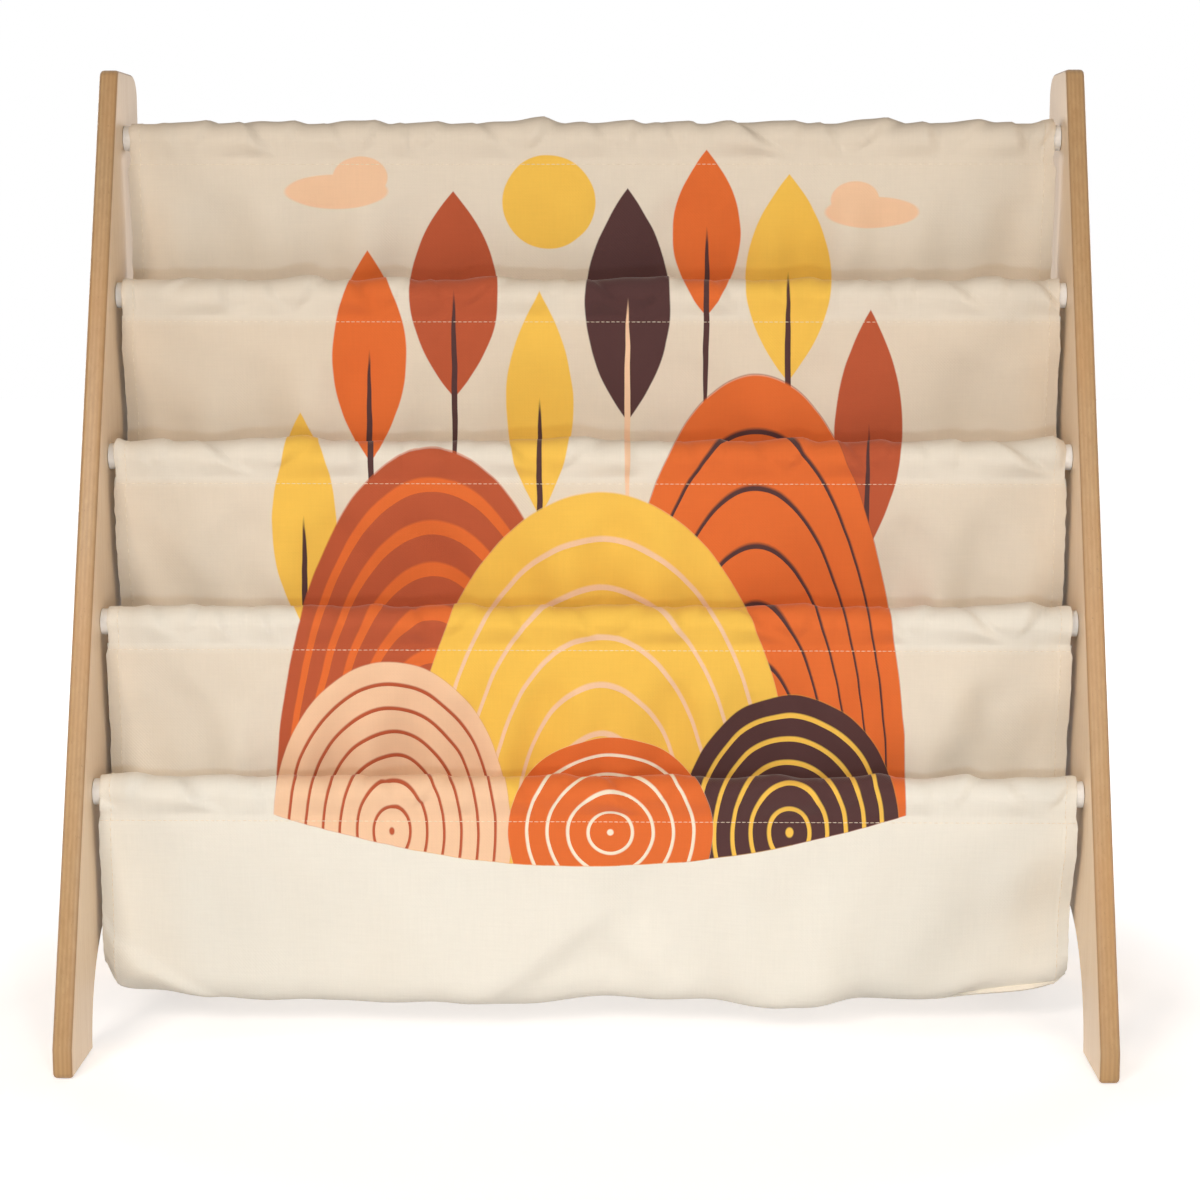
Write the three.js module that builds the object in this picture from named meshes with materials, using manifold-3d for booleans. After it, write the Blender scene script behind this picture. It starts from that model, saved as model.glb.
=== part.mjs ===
// A child's sling bookshelf. Two shaped plywood side boards stand upright, five steel tubes are
// bolted between them in one slanting row, and four sewn canvas panels hang from the tubes as
// pockets for picture books. Lengths are in millimetres. X runs along the shelf, Y goes from the
// front to the back and Z is up. The origin is on the floor, under the middle of the shelf.

import * as THREE from "three";
import { mergeVertices } from "three/addons/utils/BufferGeometryUtils.js";
import Module from "manifold-3d";

const wasm = await Module();
wasm.setup();

// The shelf as a whole. The bolt heads stand a little proud of the width over the boards.
const SHELF_WIDTH = 620;
const SHELF_DEPTH = 268;
const SHELF_HEIGHT = 590;

// The side boards. The front edge rises plumb over the toe and then leans back to the top.
const BOARD_THICKNESS = 12;
const TOP_DEPTH = 60;
const TOE_HEIGHT = 18;
const ARCH_RADIUS = 78;
const FOOT_RADIUS = 4;
const FRONT_TOP_RADIUS = 6;
const BACK_TOP_RADIUS = 15;
const EDGE_EASING = 2.5;

// The tubes, and where the highest and the lowest of them sit on the boards.
const TUBE_COUNT = 5;
const TUBE_DIAMETER = 16;
const TUBE_WALL = 1.2;
const TOP_TUBE_DROP = 42;
const BOTTOM_TUBE_HEIGHT = 154;
const TUBE_SETBACK = 30;

// The threaded insert in each tube end, and the connector bolt that goes into it.
const INSERT_LENGTH = 22;
const INSERT_CHAMFER = 1;
const BOLT_DIAMETER = 6;
const BOLT_REACH = 14;
const BOLT_POINT = 1;
const HEAD_DIAMETER = 17;
const HEAD_HEIGHT = 2.6;
const HEAD_RIM = 1.1;
const SOCKET_WIDTH = 4;
const SOCKET_DEPTH = 1.8;

// The canvas. Its panels are a little shorter than the tubes, so some white tube shows.
const CLOTH_THICKNESS = 1.2;
const CLOTH_END_GAP = 3;
const SLEEVE_EASE = 0.5;
const STITCH_BELOW_TUBE = 5;
const SEAM_LAP = 8;
const FLOOR_CLEARANCE = 20;
const POCKET_SAG = 12;

// The soft waves in the hanging cloth. They start below the seam and grow over the ramp.
const FOLD_DEPTH = 1.8;
const FOLD_RAMP = 60;
const FOLD_SPACING = 236;
const RIPPLE_SPACING = 131;
const RIPPLE_DEPTH = 0.9;
const FOLD_TURN_PER_TUBE = 1.9;
const SAG_FLATNESS = 2.6;
const FOLD_ROWS = 3;

// Play between pieces that touch on the real shelf, and how far a cutter passes a face.
const SEAT_GAP = 0.3;
const CUT_OVERRUN = 1;

// How finely round shapes are drawn.
const TUBE_FACETS = 24;
const BOLT_FACETS = 16;
const HEXAGON = 6;
const BOARD_CURVE_STEPS = 8;
const BOARD_EASING_STEPS = 2;
const CLOTH_CURVE_STEPS = 4;
const CLOTH_LENGTH_STEPS = 16;

// Places that follow from the sizes above.
const FRONT = -SHELF_DEPTH / 2;
const BACK = SHELF_DEPTH / 2;
const TOP_FRONT = BACK - TOP_DEPTH;
const LEAN = (TOP_FRONT - FRONT) / (SHELF_HEIGHT - TOE_HEIGHT);
const TUBE_RISE = (SHELF_HEIGHT - TOP_TUBE_DROP - BOTTOM_TUBE_HEIGHT) / (TUBE_COUNT - 1);
const INNER_FACE = SHELF_WIDTH / 2 - BOARD_THICKNESS;
const TUBE_END = INNER_FACE - SEAT_GAP;
const TUBE_RADIUS = TUBE_DIAMETER / 2;
const BOLT_HOLE_RADIUS = BOLT_DIAMETER / 2 + SEAT_GAP;
const SLEEVE_RADIUS = TUBE_RADIUS + SLEEVE_EASE;
const STITCH_DROP = TUBE_RADIUS + STITCH_BELOW_TUBE;
const POCKET_DEPTH = BOTTOM_TUBE_HEIGHT - FLOOR_CLEARANCE - POCKET_SAG;
const CLOTH_LENGTH = 2 * (INNER_FACE - CLOTH_END_GAP);

// The finishes.
const lacqueredPlywood = { color: "#d8b88e", roughness: 0.5, metalness: 0 };
const whiteEnamel = { color: "#f4f3ef", roughness: 0.25, metalness: 0 };
const zincPlate = { color: "#b9bbbe", roughness: 0.4, metalness: 1 };
const nickelPlate = { color: "#a8a9ab", roughness: 0.3, metalness: 1 };
const creamCanvas = { color: "#eadfc9", roughness: 0.95, metalness: 0 };

const shelf = new THREE.Group();

// Adds one named piece of the shelf.
function addPiece(name, geometry, finish) {
  const mesh = new THREE.Mesh(geometry, new THREE.MeshStandardMaterial(finish));
  mesh.name = name;
  shelf.add(mesh);
  return mesh;
}

// The centre of a tube in the plane of a side board, counted from the top tube down.
function tubePlace(index) {
  const height = SHELF_HEIGHT - TOP_TUBE_DROP - index * TUBE_RISE;
  const frontEdge = FRONT + (height - TOE_HEIGHT) * LEAN;
  return { index, y: frontEdge + TUBE_SETBACK, z: height };
}

// Turns a closed geometry into a solid that can be joined and cut.
function toSolid(geometry) {
  const plain = geometry.clone();
  plain.deleteAttribute("normal");
  plain.deleteAttribute("uv");
  const merged = mergeVertices(plain);
  return new wasm.Manifold(new wasm.Mesh({
    numProp: 3,
    vertProperties: new Float32Array(merged.attributes.position.array),
    triVerts: new Uint32Array(merged.index.array),
  }));
}

// Turns a solid back into a geometry.
function toGeometry(solid) {
  const mesh = solid.getMesh();
  const geometry = new THREE.BufferGeometry();
  geometry.setAttribute("position", new THREE.BufferAttribute(mesh.vertProperties, 3));
  geometry.setIndex(new THREE.BufferAttribute(mesh.triVerts, 1));
  geometry.computeVertexNormals();
  return geometry;
}

// Extrudes an outline drawn in the plane of a side board along the shelf, from X = start.
function extrudeAlongShelf(outline, start, options) {
  const geometry = new THREE.ExtrudeGeometry(outline, options);
  const depthAxis = new THREE.Vector3(0, 1, 0);
  const upAxis = new THREE.Vector3(0, 0, 1);
  const lengthAxis = new THREE.Vector3(1, 0, 0);
  geometry.applyMatrix4(new THREE.Matrix4().makeBasis(depthAxis, upAxis, lengthAxis));
  geometry.translate(start, 0, 0);
  return geometry;
}

// A turned piece whose axis lies along X. The profile lists [place along X, radius], with the
// outside of the piece drawn towards +X.
function turnAlongShelf(profile, facets) {
  const points = profile.map(([along, radius]) => new THREE.Vector2(radius, along));
  const geometry = new THREE.LatheGeometry(points, facets);
  geometry.rotateZ(-Math.PI / 2);
  return geometry;
}

// The outline of a side board: two feet with a half-round arch between them, a plumb back edge,
// a round back corner at the top, and the leaning front edge.
function boardOutline() {
  const leanAngle = Math.atan(LEAN);
  const cornerHeight = SHELF_HEIGHT - FRONT_TOP_RADIUS;
  const frontCorner = TOP_FRONT - FRONT_TOP_RADIUS * LEAN + FRONT_TOP_RADIUS / Math.cos(leanAngle);
  const backCorner = BACK - BACK_TOP_RADIUS;
  const outline = new THREE.Shape();
  outline.moveTo(FRONT, TOE_HEIGHT);
  outline.lineTo(FRONT, FOOT_RADIUS);
  outline.absarc(FRONT + FOOT_RADIUS, FOOT_RADIUS, FOOT_RADIUS, Math.PI, Math.PI * 1.5, false);
  outline.lineTo(-ARCH_RADIUS, 0);
  outline.absarc(0, 0, ARCH_RADIUS, Math.PI, 0, true);
  outline.lineTo(BACK - FOOT_RADIUS, 0);
  outline.absarc(BACK - FOOT_RADIUS, FOOT_RADIUS, FOOT_RADIUS, Math.PI * 1.5, Math.PI * 2, false);
  outline.lineTo(BACK, SHELF_HEIGHT - BACK_TOP_RADIUS);
  outline.absarc(backCorner, SHELF_HEIGHT - BACK_TOP_RADIUS, BACK_TOP_RADIUS, 0, Math.PI / 2, false);
  outline.lineTo(frontCorner, SHELF_HEIGHT);
  outline.absarc(frontCorner, cornerHeight, FRONT_TOP_RADIUS, Math.PI / 2, Math.PI - leanAngle, false);
  outline.closePath();
  return outline;
}

// A side board with all its edges eased and a bolt hole for each tube.
function boardGeometry(innerFace, outerFace) {
  const start = Math.min(innerFace, outerFace) + EDGE_EASING;
  const blank = extrudeAlongShelf(boardOutline(), start, {
    depth: BOARD_THICKNESS - 2 * EDGE_EASING,
    curveSegments: BOARD_CURVE_STEPS,
    bevelEnabled: true,
    bevelThickness: EDGE_EASING,
    bevelSize: EDGE_EASING,
    bevelOffset: -EDGE_EASING,
    bevelSegments: BOARD_EASING_STEPS,
  });
  let board = toSolid(blank);
  for (let index = 0; index < TUBE_COUNT; index += 1) {
    board = board.subtract(boltHole(tubePlace(index), (innerFace + outerFace) / 2));
  }
  return toGeometry(board);
}

// The cutter for one bolt hole, centred in a board's thickness.
function boltHole(place, middle) {
  const length = BOARD_THICKNESS + 2 * CUT_OVERRUN;
  const drill = new THREE.CylinderGeometry(BOLT_HOLE_RADIUS, BOLT_HOLE_RADIUS, length, BOLT_FACETS);
  drill.rotateZ(Math.PI / 2);
  drill.translate(middle, place.y, place.z);
  return toSolid(drill);
}

// An open steel tube that spans the shelf between the boards.
function tubeGeometry() {
  const bore = TUBE_RADIUS - TUBE_WALL;
  return turnAlongShelf([
    [-TUBE_END, TUBE_RADIUS],
    [TUBE_END, TUBE_RADIUS],
    [TUBE_END, bore],
    [-TUBE_END, bore],
    [-TUBE_END, TUBE_RADIUS],
  ], TUBE_FACETS);
}

// The threaded insert in the right end of a tube, flush with the end.
function insertGeometry() {
  const radius = TUBE_RADIUS - TUBE_WALL - SEAT_GAP;
  const tail = TUBE_END - INSERT_LENGTH;
  return turnAlongShelf([
    [tail, radius - INSERT_CHAMFER],
    [tail + INSERT_CHAMFER, radius],
    [TUBE_END, radius],
    [TUBE_END, BOLT_HOLE_RADIUS],
    [tail, BOLT_HOLE_RADIUS],
    [tail, radius - INSERT_CHAMFER],
  ], BOLT_FACETS);
}

// A connector bolt in the right board: a flat domed head outside the board, with a hexagon
// socket, and a shank that passes the board and ends inside the tube's insert.
function boltGeometry() {
  const seat = SHELF_WIDTH / 2 + SEAT_GAP;
  const tip = TUBE_END - BOLT_REACH;
  const shank = BOLT_DIAMETER / 2;
  const rim = HEAD_DIAMETER / 2;
  const crown = rim - (HEAD_HEIGHT - HEAD_RIM);
  const body = turnAlongShelf([
    [tip, 0],
    [tip, shank - BOLT_POINT],
    [tip + BOLT_POINT, shank],
    [seat, shank],
    [seat, rim],
    [seat + HEAD_RIM, rim],
    [seat + HEAD_HEIGHT, crown],
    [seat + HEAD_HEIGHT, 0],
  ], BOLT_FACETS);
  const cornerRadius = SOCKET_WIDTH / 2 / Math.cos(Math.PI / HEXAGON);
  const length = SOCKET_DEPTH + CUT_OVERRUN;
  const socket = new THREE.CylinderGeometry(cornerRadius, cornerRadius, length, HEXAGON);
  socket.rotateZ(Math.PI / 2);
  socket.translate(seat + HEAD_HEIGHT - SOCKET_DEPTH + length / 2, 0, 0);
  return toGeometry(toSolid(body).subtract(toSolid(socket)));
}

// The angle, from straight down, at which a sleeve leaves its tube for the stitch line.
function sleeveAngle() {
  return Math.acos(SLEEVE_RADIUS / STITCH_DROP);
}

// The hole of a sleeve: round over the tube, and drawn to a point at the stitch line.
function sleeveBore(place) {
  const turn = sleeveAngle();
  const bore = new THREE.Path();
  bore.absarc(place.y, place.z, SLEEVE_RADIUS, turn - Math.PI / 2, -turn - Math.PI / 2, false);
  bore.lineTo(place.y, place.z - STITCH_DROP);
  bore.closePath();
  return bore;
}

// Draws the outside of a sleeve from the front of its wall, over the tube and down to the end
// of the lap that is sewn to the back of the wall.
function drawSleeve(outline, place) {
  const turn = sleeveAngle();
  const radius = SLEEVE_RADIUS + CLOTH_THICKNESS;
  const seam = place.z - STITCH_DROP - CLOTH_THICKNESS;
  outline.lineTo(place.y - CLOTH_THICKNESS, seam);
  outline.absarc(place.y, place.z, radius, -turn - Math.PI / 2, turn - Math.PI / 2, true);
  outline.lineTo(place.y + CLOTH_THICKNESS, seam);
  outline.lineTo(place.y + CLOTH_THICKNESS, seam - SEAM_LAP);
  outline.lineTo(place.y, seam - SEAM_LAP);
}

// Draws one face of a hanging wall in short runs, so that the cloth can wave over its height.
function drawWall(outline, y, from, to) {
  for (let row = 1; row <= FOLD_ROWS; row += 1) {
    outline.lineTo(y, from + (to - from) * row / FOLD_ROWS);
  }
}

// Where the parts of a pocket lie. The front wall of the lowest pocket carries its own sleeve,
// and the others are sewn behind the lap of the next panel.
function pocketPlaces(back, front, isLowest) {
  const sewnBehind = front.y + CLOTH_THICKNESS + SEAT_GAP;
  const frontFace = isLowest ? front.y - CLOTH_THICKNESS : sewnBehind;
  const outerRadius = (back.y - frontFace) / 2;
  return {
    frontFace,
    outerRadius,
    bendCentre: frontFace + outerRadius,
    bendHeight: front.z - POCKET_DEPTH + outerRadius,
    backSeam: back.z - STITCH_DROP - CLOTH_THICKNESS,
    frontSeam: front.z - STITCH_DROP - CLOTH_THICKNESS,
  };
}

// The section of one panel: the sleeve over its tube, the long back wall, the round bottom of
// the pocket, and the short front wall that rises to the next tube.
function panelOutline(back, front, isLowest) {
  const places = pocketPlaces(back, front, isLowest);
  const { frontFace, outerRadius, bendCentre, bendHeight, backSeam, frontSeam } = places;
  const innerRadius = outerRadius - CLOTH_THICKNESS;
  const outline = new THREE.Shape();
  outline.moveTo(back.y - CLOTH_THICKNESS, bendHeight);
  drawWall(outline, back.y - CLOTH_THICKNESS, bendHeight, backSeam);
  drawSleeve(outline, back);
  drawWall(outline, back.y, backSeam - SEAM_LAP, bendHeight);
  outline.absarc(bendCentre, bendHeight, outerRadius, 0, Math.PI, true);
  drawWall(outline, frontFace, bendHeight, frontSeam);
  if (isLowest) {
    drawSleeve(outline, front);
    drawWall(outline, front.y, frontSeam - SEAM_LAP, bendHeight);
  } else {
    outline.lineTo(frontFace + CLOTH_THICKNESS, frontSeam);
    drawWall(outline, frontFace + CLOTH_THICKNESS, frontSeam, bendHeight);
  }
  outline.absarc(bendCentre, bendHeight, innerRadius, Math.PI, 0, false);
  outline.closePath();
  outline.holes.push(sleeveBore(back));
  if (isLowest) {
    outline.holes.push(sleeveBore(front));
  }
  return outline;
}

// How far the cloth that hangs from one tube waves towards the back, at a place along the shelf.
function foldOffset(along, place, height) {
  const below = place.z - STITCH_DROP - SEAM_LAP - height;
  const growth = THREE.MathUtils.smoothstep(below, 0, FOLD_RAMP);
  const phase = place.index * FOLD_TURN_PER_TUBE;
  const fold = FOLD_DEPTH * Math.sin(2 * Math.PI * along / FOLD_SPACING + phase);
  const ripple = RIPPLE_DEPTH * Math.sin(2 * Math.PI * along / RIPPLE_SPACING - phase);
  return growth * (fold + ripple);
}

// How far the bottom of a pocket sags at a place along the shelf. Its ends are held up by hems.
function sagAt(along) {
  const reach = Math.min(1, Math.abs(2 * along / CLOTH_LENGTH));
  return POCKET_SAG * (1 - reach ** SAG_FLATNESS);
}

// Lets a straight panel hang: its walls wave, and the bottom of its pocket sags.
function letHang(geometry, back, front) {
  const position = geometry.attributes.position;
  const seam = front.z - STITCH_DROP - SEAM_LAP;
  const bottom = front.z - POCKET_DEPTH;
  const reach = SLEEVE_RADIUS + CLOTH_THICKNESS;
  for (let vertex = 0; vertex < position.count; vertex += 1) {
    const along = position.getX(vertex);
    const y = position.getY(vertex);
    const z = position.getZ(vertex);
    const backness = THREE.MathUtils.smoothstep(y, front.y + reach, back.y - reach);
    const wave = THREE.MathUtils.lerp(foldOffset(along, front, z), foldOffset(along, back, z), backness);
    const share = 1 - THREE.MathUtils.smoothstep(z, bottom, seam);
    position.setXYZ(vertex, along, y + wave, z - share * sagAt(along));
  }
  geometry.computeVertexNormals();
}

// One canvas panel, from its sleeve to the top of its pocket's front wall.
function panelGeometry(index) {
  const back = tubePlace(index);
  const front = tubePlace(index + 1);
  const isLowest = index === TUBE_COUNT - 2;
  const geometry = extrudeAlongShelf(panelOutline(back, front, isLowest), -CLOTH_LENGTH / 2, {
    depth: CLOTH_LENGTH,
    steps: CLOTH_LENGTH_STEPS,
    curveSegments: CLOTH_CURVE_STEPS,
    bevelEnabled: false,
  });
  letHang(geometry, back, front);
  return geometry;
}

function addBoards() {
  addPiece("side_board_left", boardGeometry(-INNER_FACE, -SHELF_WIDTH / 2), lacqueredPlywood);
  addPiece("side_board_right", boardGeometry(INNER_FACE, SHELF_WIDTH / 2), lacqueredPlywood);
}

// Each tube, with the inserts in its ends and the bolts that clamp the boards to it. The pieces
// at the left end are those at the right end turned half a turn about the vertical.
function addTubes() {
  const tube = tubeGeometry();
  const insert = insertGeometry();
  const bolt = boltGeometry();
  for (let index = 0; index < TUBE_COUNT; index += 1) {
    const place = tubePlace(index);
    const number = index + 1;
    addPiece(`tube_${number}`, tube, whiteEnamel).position.set(0, place.y, place.z);
    for (const [side, turn] of [["right", 0], ["left", Math.PI]]) {
      const insertMesh = addPiece(`insert_${side}_${number}`, insert, zincPlate);
      insertMesh.position.set(0, place.y, place.z);
      insertMesh.rotation.z = turn;
      const boltMesh = addPiece(`bolt_${side}_${number}`, bolt, nickelPlate);
      boltMesh.position.set(0, place.y, place.z);
      boltMesh.rotation.z = turn;
    }
  }
}

function addSling() {
  for (let index = 0; index < TUBE_COUNT - 1; index += 1) {
    addPiece(`sling_panel_${index + 1}`, panelGeometry(index), creamCanvas);
  }
}

addBoards();
addTubes();
addSling();

export default shelf;
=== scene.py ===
# %% [markdown]
# # A sling bookshelf for small children
# Two plywood side boards stand upright, five white steel tubes run between them, and cream canvas hangs
# from the tubes in four pockets. Each step below says what a piece is on the real shelf, how it could be
# modelled, and why it is modelled as it is. All lengths are metres, and +Z is up.

import math

import bpy
import numpy as np
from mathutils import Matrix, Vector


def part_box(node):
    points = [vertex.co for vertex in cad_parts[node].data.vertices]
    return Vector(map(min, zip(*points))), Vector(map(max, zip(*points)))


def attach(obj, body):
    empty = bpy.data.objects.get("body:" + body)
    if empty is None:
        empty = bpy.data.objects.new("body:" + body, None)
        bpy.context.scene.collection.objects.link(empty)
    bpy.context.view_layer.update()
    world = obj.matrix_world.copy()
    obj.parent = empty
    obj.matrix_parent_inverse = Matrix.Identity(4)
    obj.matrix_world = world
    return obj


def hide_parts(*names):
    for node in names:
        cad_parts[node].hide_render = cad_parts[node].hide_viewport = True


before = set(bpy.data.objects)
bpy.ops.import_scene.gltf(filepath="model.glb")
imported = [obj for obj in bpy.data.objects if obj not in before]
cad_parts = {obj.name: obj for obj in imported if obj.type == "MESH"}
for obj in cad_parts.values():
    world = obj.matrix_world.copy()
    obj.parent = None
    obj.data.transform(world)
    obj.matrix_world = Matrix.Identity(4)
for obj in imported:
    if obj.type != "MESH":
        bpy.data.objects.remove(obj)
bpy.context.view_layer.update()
MM = 0.001
TUBES = 5
PANELS = 4

# %% [markdown]
# ## Sizes that everything else follows
# The frame already holds every piece at its place, so the tube axes and the cloth's width are measured
# there. Only sizes that a box can't tell, such as the radius of a corner, are written again.

# %% Measure the frame
def middle(node):
    """The middle of a frame node's box."""
    low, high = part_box(node)
    return (low + high) / 2


tube_axes = [middle(f"tube_{number}") for number in range(1, TUBES + 1)]
tube_low, tube_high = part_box("tube_1")
TUBE_RADIUS = (tube_high.z - tube_low.z) / 2
TUBE_HALF_LENGTH = tube_high.x
TUBE_WALL = 1.2 * MM
CLOTH_HALF_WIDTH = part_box("sling_panel_1")[1].x
board_low, board_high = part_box("side_board_right")
INNER_FACE = board_low.x
OUTER_FACE = board_high.x
print("tube axes:", [tuple(round(v, 4) for v in axis) for axis in tube_axes])

# %% [markdown]
# ## The camera
# The photograph is a square picture taken from a little above the shelf's middle with a longish lens. The
# camera's place and lens come from lines that were measured in it: board edges, tube ends and feet.

# %% Place the camera
CAMERA_PLACE = (0.029, -1.5281, 0.4852)
CAMERA_TILT = math.radians(90 - 8.249)
CAMERA_TURN = math.radians(0.825)
LENS = 74.92
SENSOR = 36.0

camera_data = bpy.data.cameras.new("camera")
camera_data.lens = LENS
camera_data.sensor_width = SENSOR
camera = bpy.data.objects.new("camera", camera_data)
camera.location = CAMERA_PLACE
camera.rotation_euler = (CAMERA_TILT, 0, CAMERA_TURN)
bpy.context.scene.collection.objects.link(camera)
bpy.context.scene.camera = camera
bpy.context.scene.view_settings.view_transform = "Standard"
print("camera at", CAMERA_PLACE, "with a", LENS, "mm lens")

# %% [markdown]
# ## Two small helpers for materials
# Shader and geometry trees are built from the same call, which adds one node, gives it its settings and
# its links, and returns one of its outputs. Colours are written as the hex values that a screen shows,
# and turned to the linear values that nodes expect.

# %% Helpers for nodes and colours
def add(tree, kind, inputs=None, out=0, **settings):
    """Adds one node to a tree. A value for an input is a number, a colour or another node's output."""
    node = tree.nodes.new(kind)
    for name, value in settings.items():
        setattr(node, name, value)
    for name, value in (inputs or {}).items():
        if isinstance(value, bpy.types.NodeSocket):
            tree.links.new(value, node.inputs[name])
        else:
            node.inputs[name].default_value = value
    return node if out is None else node.outputs[out]


def linear(hex_colour):
    """Turns an sRGB hex colour into linear red, green, blue and alpha."""
    shares = [int(hex_colour[at:at + 2], 16) / 255 for at in (1, 3, 5)]
    return tuple(s / 12.92 if s <= 0.04045 else ((s + 0.055) / 1.055) ** 2.4 for s in shares) + (1.0,)


def new_material(name, **surface):
    """A material with one Principled shader. Surface values such as Roughness are set on its own sockets."""
    material = bpy.data.materials.new(name)
    material.use_nodes = True
    shader = material.node_tree.nodes["Principled BSDF"]
    for socket, value in surface.items():
        shader.inputs[socket.replace("_", " ")].default_value = value
    return material, material.node_tree, shader


# %% [markdown]
# ## Light and floor
# The photograph is a cut-out on white with soft light from the front. A large warm softbox stands at the
# upper left and a weaker one at the upper right. A small cool lamp low in front throws the shadow band of
# each sleeve on the wall behind it. Two strips at the sides brighten the boards' front edges, and two
# weak lamps far out behind light the back without shining along the boards. The floor glows white to the
# camera but lights nothing, and its glow fades near the shelf, so the feet still throw a shadow.

# %% World, lamps and floor
WARM_LIGHT = "#FFF3E7"
COOL_LIGHT = "#D3EDFF"
WORLD_LIGHT = 0.14
FLOOR_SIDE = 12.0
FLOOR_DROP = 0.3 * MM
FLOOR_PAPER = "#ECECEE"
FLOOR_GLOW = (0.5, 1.0)
FLOOR_GLOW_REACH = (0.3, 0.6)
LAMPS = [
    {"name": "main_softbox", "place": (-0.85, -2.0, 1.3), "target": (0.04, 0, 0.05), "size": (0.6, 0.6),
     "power": 4.3, "spread": 80, "tint": WARM_LIGHT},
    {"name": "right_fill", "place": (0.6, -1.8, 0.95), "target": (0.05, 0, 0.12), "size": (0.7, 0.7),
     "power": 2.9, "spread": 100, "tint": WARM_LIGHT},
    {"name": "low_key", "place": (0.05, -1.08, 0.257), "target": (0, 0, 0.20), "size": (0.06, 0.06),
     "power": 2.05, "spread": 180, "tint": COOL_LIGHT},
    {"name": "left_strip", "place": (-1.5, -0.7, 0.30), "target": (0.3, 0, 0.15), "size": (0.4, 0.6),
     "power": 3.6, "spread": 180, "tint": WARM_LIGHT},
    {"name": "right_strip", "place": (1.5, -0.7, 0.30), "target": (-0.3, 0, 0.15), "size": (0.4, 0.6),
     "power": 4.6, "spread": 180, "tint": WARM_LIGHT},
    {"name": "rear_left_wash", "place": (-1.2, 1.7, 0.45), "target": (0.1, 0, 0.28), "size": (0.8, 0.8),
     "power": 4.5, "spread": 120, "tint": WARM_LIGHT},
    {"name": "rear_right_wash", "place": (1.2, 1.7, 0.45), "target": (-0.1, 0, 0.28), "size": (0.8, 0.8),
     "power": 4.2, "spread": 120, "tint": WARM_LIGHT},
]


def seen_directly(tree):
    """1 for what the camera, a mirror or a glass sees, and 0 for the light that a surface receives."""
    path = add(tree, "ShaderNodeLightPath", out=None)
    seen = add(tree, "ShaderNodeMath", {0: path.outputs["Is Camera Ray"], 1: path.outputs["Is Glossy Ray"]},
               operation="MAXIMUM")
    return add(tree, "ShaderNodeMath", {0: seen, 1: path.outputs["Is Transmission Ray"]}, operation="MAXIMUM")


def make_world():
    """A dim warm surround for the object, and plain white for whoever looks at it."""
    world = bpy.data.worlds.new("studio")
    bpy.context.scene.world = world
    world.use_nodes = True
    tree = world.node_tree
    tree.nodes.clear()
    light = add(tree, "ShaderNodeBackground", {"Color": linear(WARM_LIGHT), "Strength": WORLD_LIGHT})
    white = add(tree, "ShaderNodeBackground", {"Color": linear("#FFFFFF"), "Strength": 1.0})
    mixed = add(tree, "ShaderNodeMixShader", {0: seen_directly(tree), 1: light, 2: white})
    add(tree, "ShaderNodeOutputWorld", {"Surface": mixed}, out=None)


def make_lamps():
    """Area lamps from the list, each turned from its place to its target."""
    for lamp in LAMPS:
        data = bpy.data.lights.new(lamp["name"], "AREA")
        data.shape = "RECTANGLE"
        data.size, data.size_y = lamp["size"]
        data.energy = lamp["power"]
        data.color = linear(lamp["tint"])[:3]
        data.spread = math.radians(lamp["spread"])
        holder = bpy.data.objects.new(lamp["name"], data)
        holder.location = lamp["place"]
        aim = Vector(lamp["target"]) - Vector(lamp["place"])
        holder.rotation_euler = aim.to_track_quat("-Z", "Y").to_euler()
        bpy.context.scene.collection.objects.link(holder)


def make_floor():
    """White paper whose shadows stay: it looks brighter than it is, but less so near the shelf."""
    half = FLOOR_SIDE / 2
    mesh = bpy.data.meshes.new("floor")
    corners = [(-half, -half), (half, -half), (half, half), (-half, half)]
    mesh.from_pydata([(x, y, -FLOOR_DROP) for x, y in corners], [], [(0, 1, 2, 3)])
    floor = bpy.data.objects.new("floor", mesh)
    bpy.context.scene.collection.objects.link(floor)
    material = bpy.data.materials.new("white_paper_floor")
    material.use_nodes = True
    tree = material.node_tree
    tree.nodes.clear()
    paper = add(tree, "ShaderNodeBsdfDiffuse", {"Color": linear(FLOOR_PAPER)})
    place = add(tree, "ShaderNodeTexCoord", out="Object")
    away = add(tree, "ShaderNodeVectorMath", {0: place}, out="Value", operation="LENGTH")
    near, far = FLOOR_GLOW_REACH
    strength = add(tree, "ShaderNodeMapRange", {"Value": away, "From Min": near, "From Max": far,
                                                "To Min": FLOOR_GLOW[0], "To Max": FLOOR_GLOW[1]},
                   interpolation_type="SMOOTHSTEP")
    glow = add(tree, "ShaderNodeEmission", {"Color": linear("#FFFFFF"), "Strength": strength})
    lifted = add(tree, "ShaderNodeAddShader", {0: paper, 1: glow})
    mixed = add(tree, "ShaderNodeMixShader", {0: seen_directly(tree), 1: paper, 2: lifted})
    add(tree, "ShaderNodeOutputMaterial", {"Surface": mixed}, out=None)
    mesh.materials.append(material)


make_world()
make_lamps()
make_floor()
print("studio:", len(LAMPS), "lamps, world light", WORLD_LIGHT)

# %% [markdown]
# ## Making and keeping a mesh
# A finished piece is a plain mesh whose object sits at the origin. Meshes come either from lists of
# points or from a Geometry Nodes tree, here called a rule, which is run once and kept as its result.

# %% Helpers for meshes
SMOOTH_ANGLE = math.radians(32)


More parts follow.
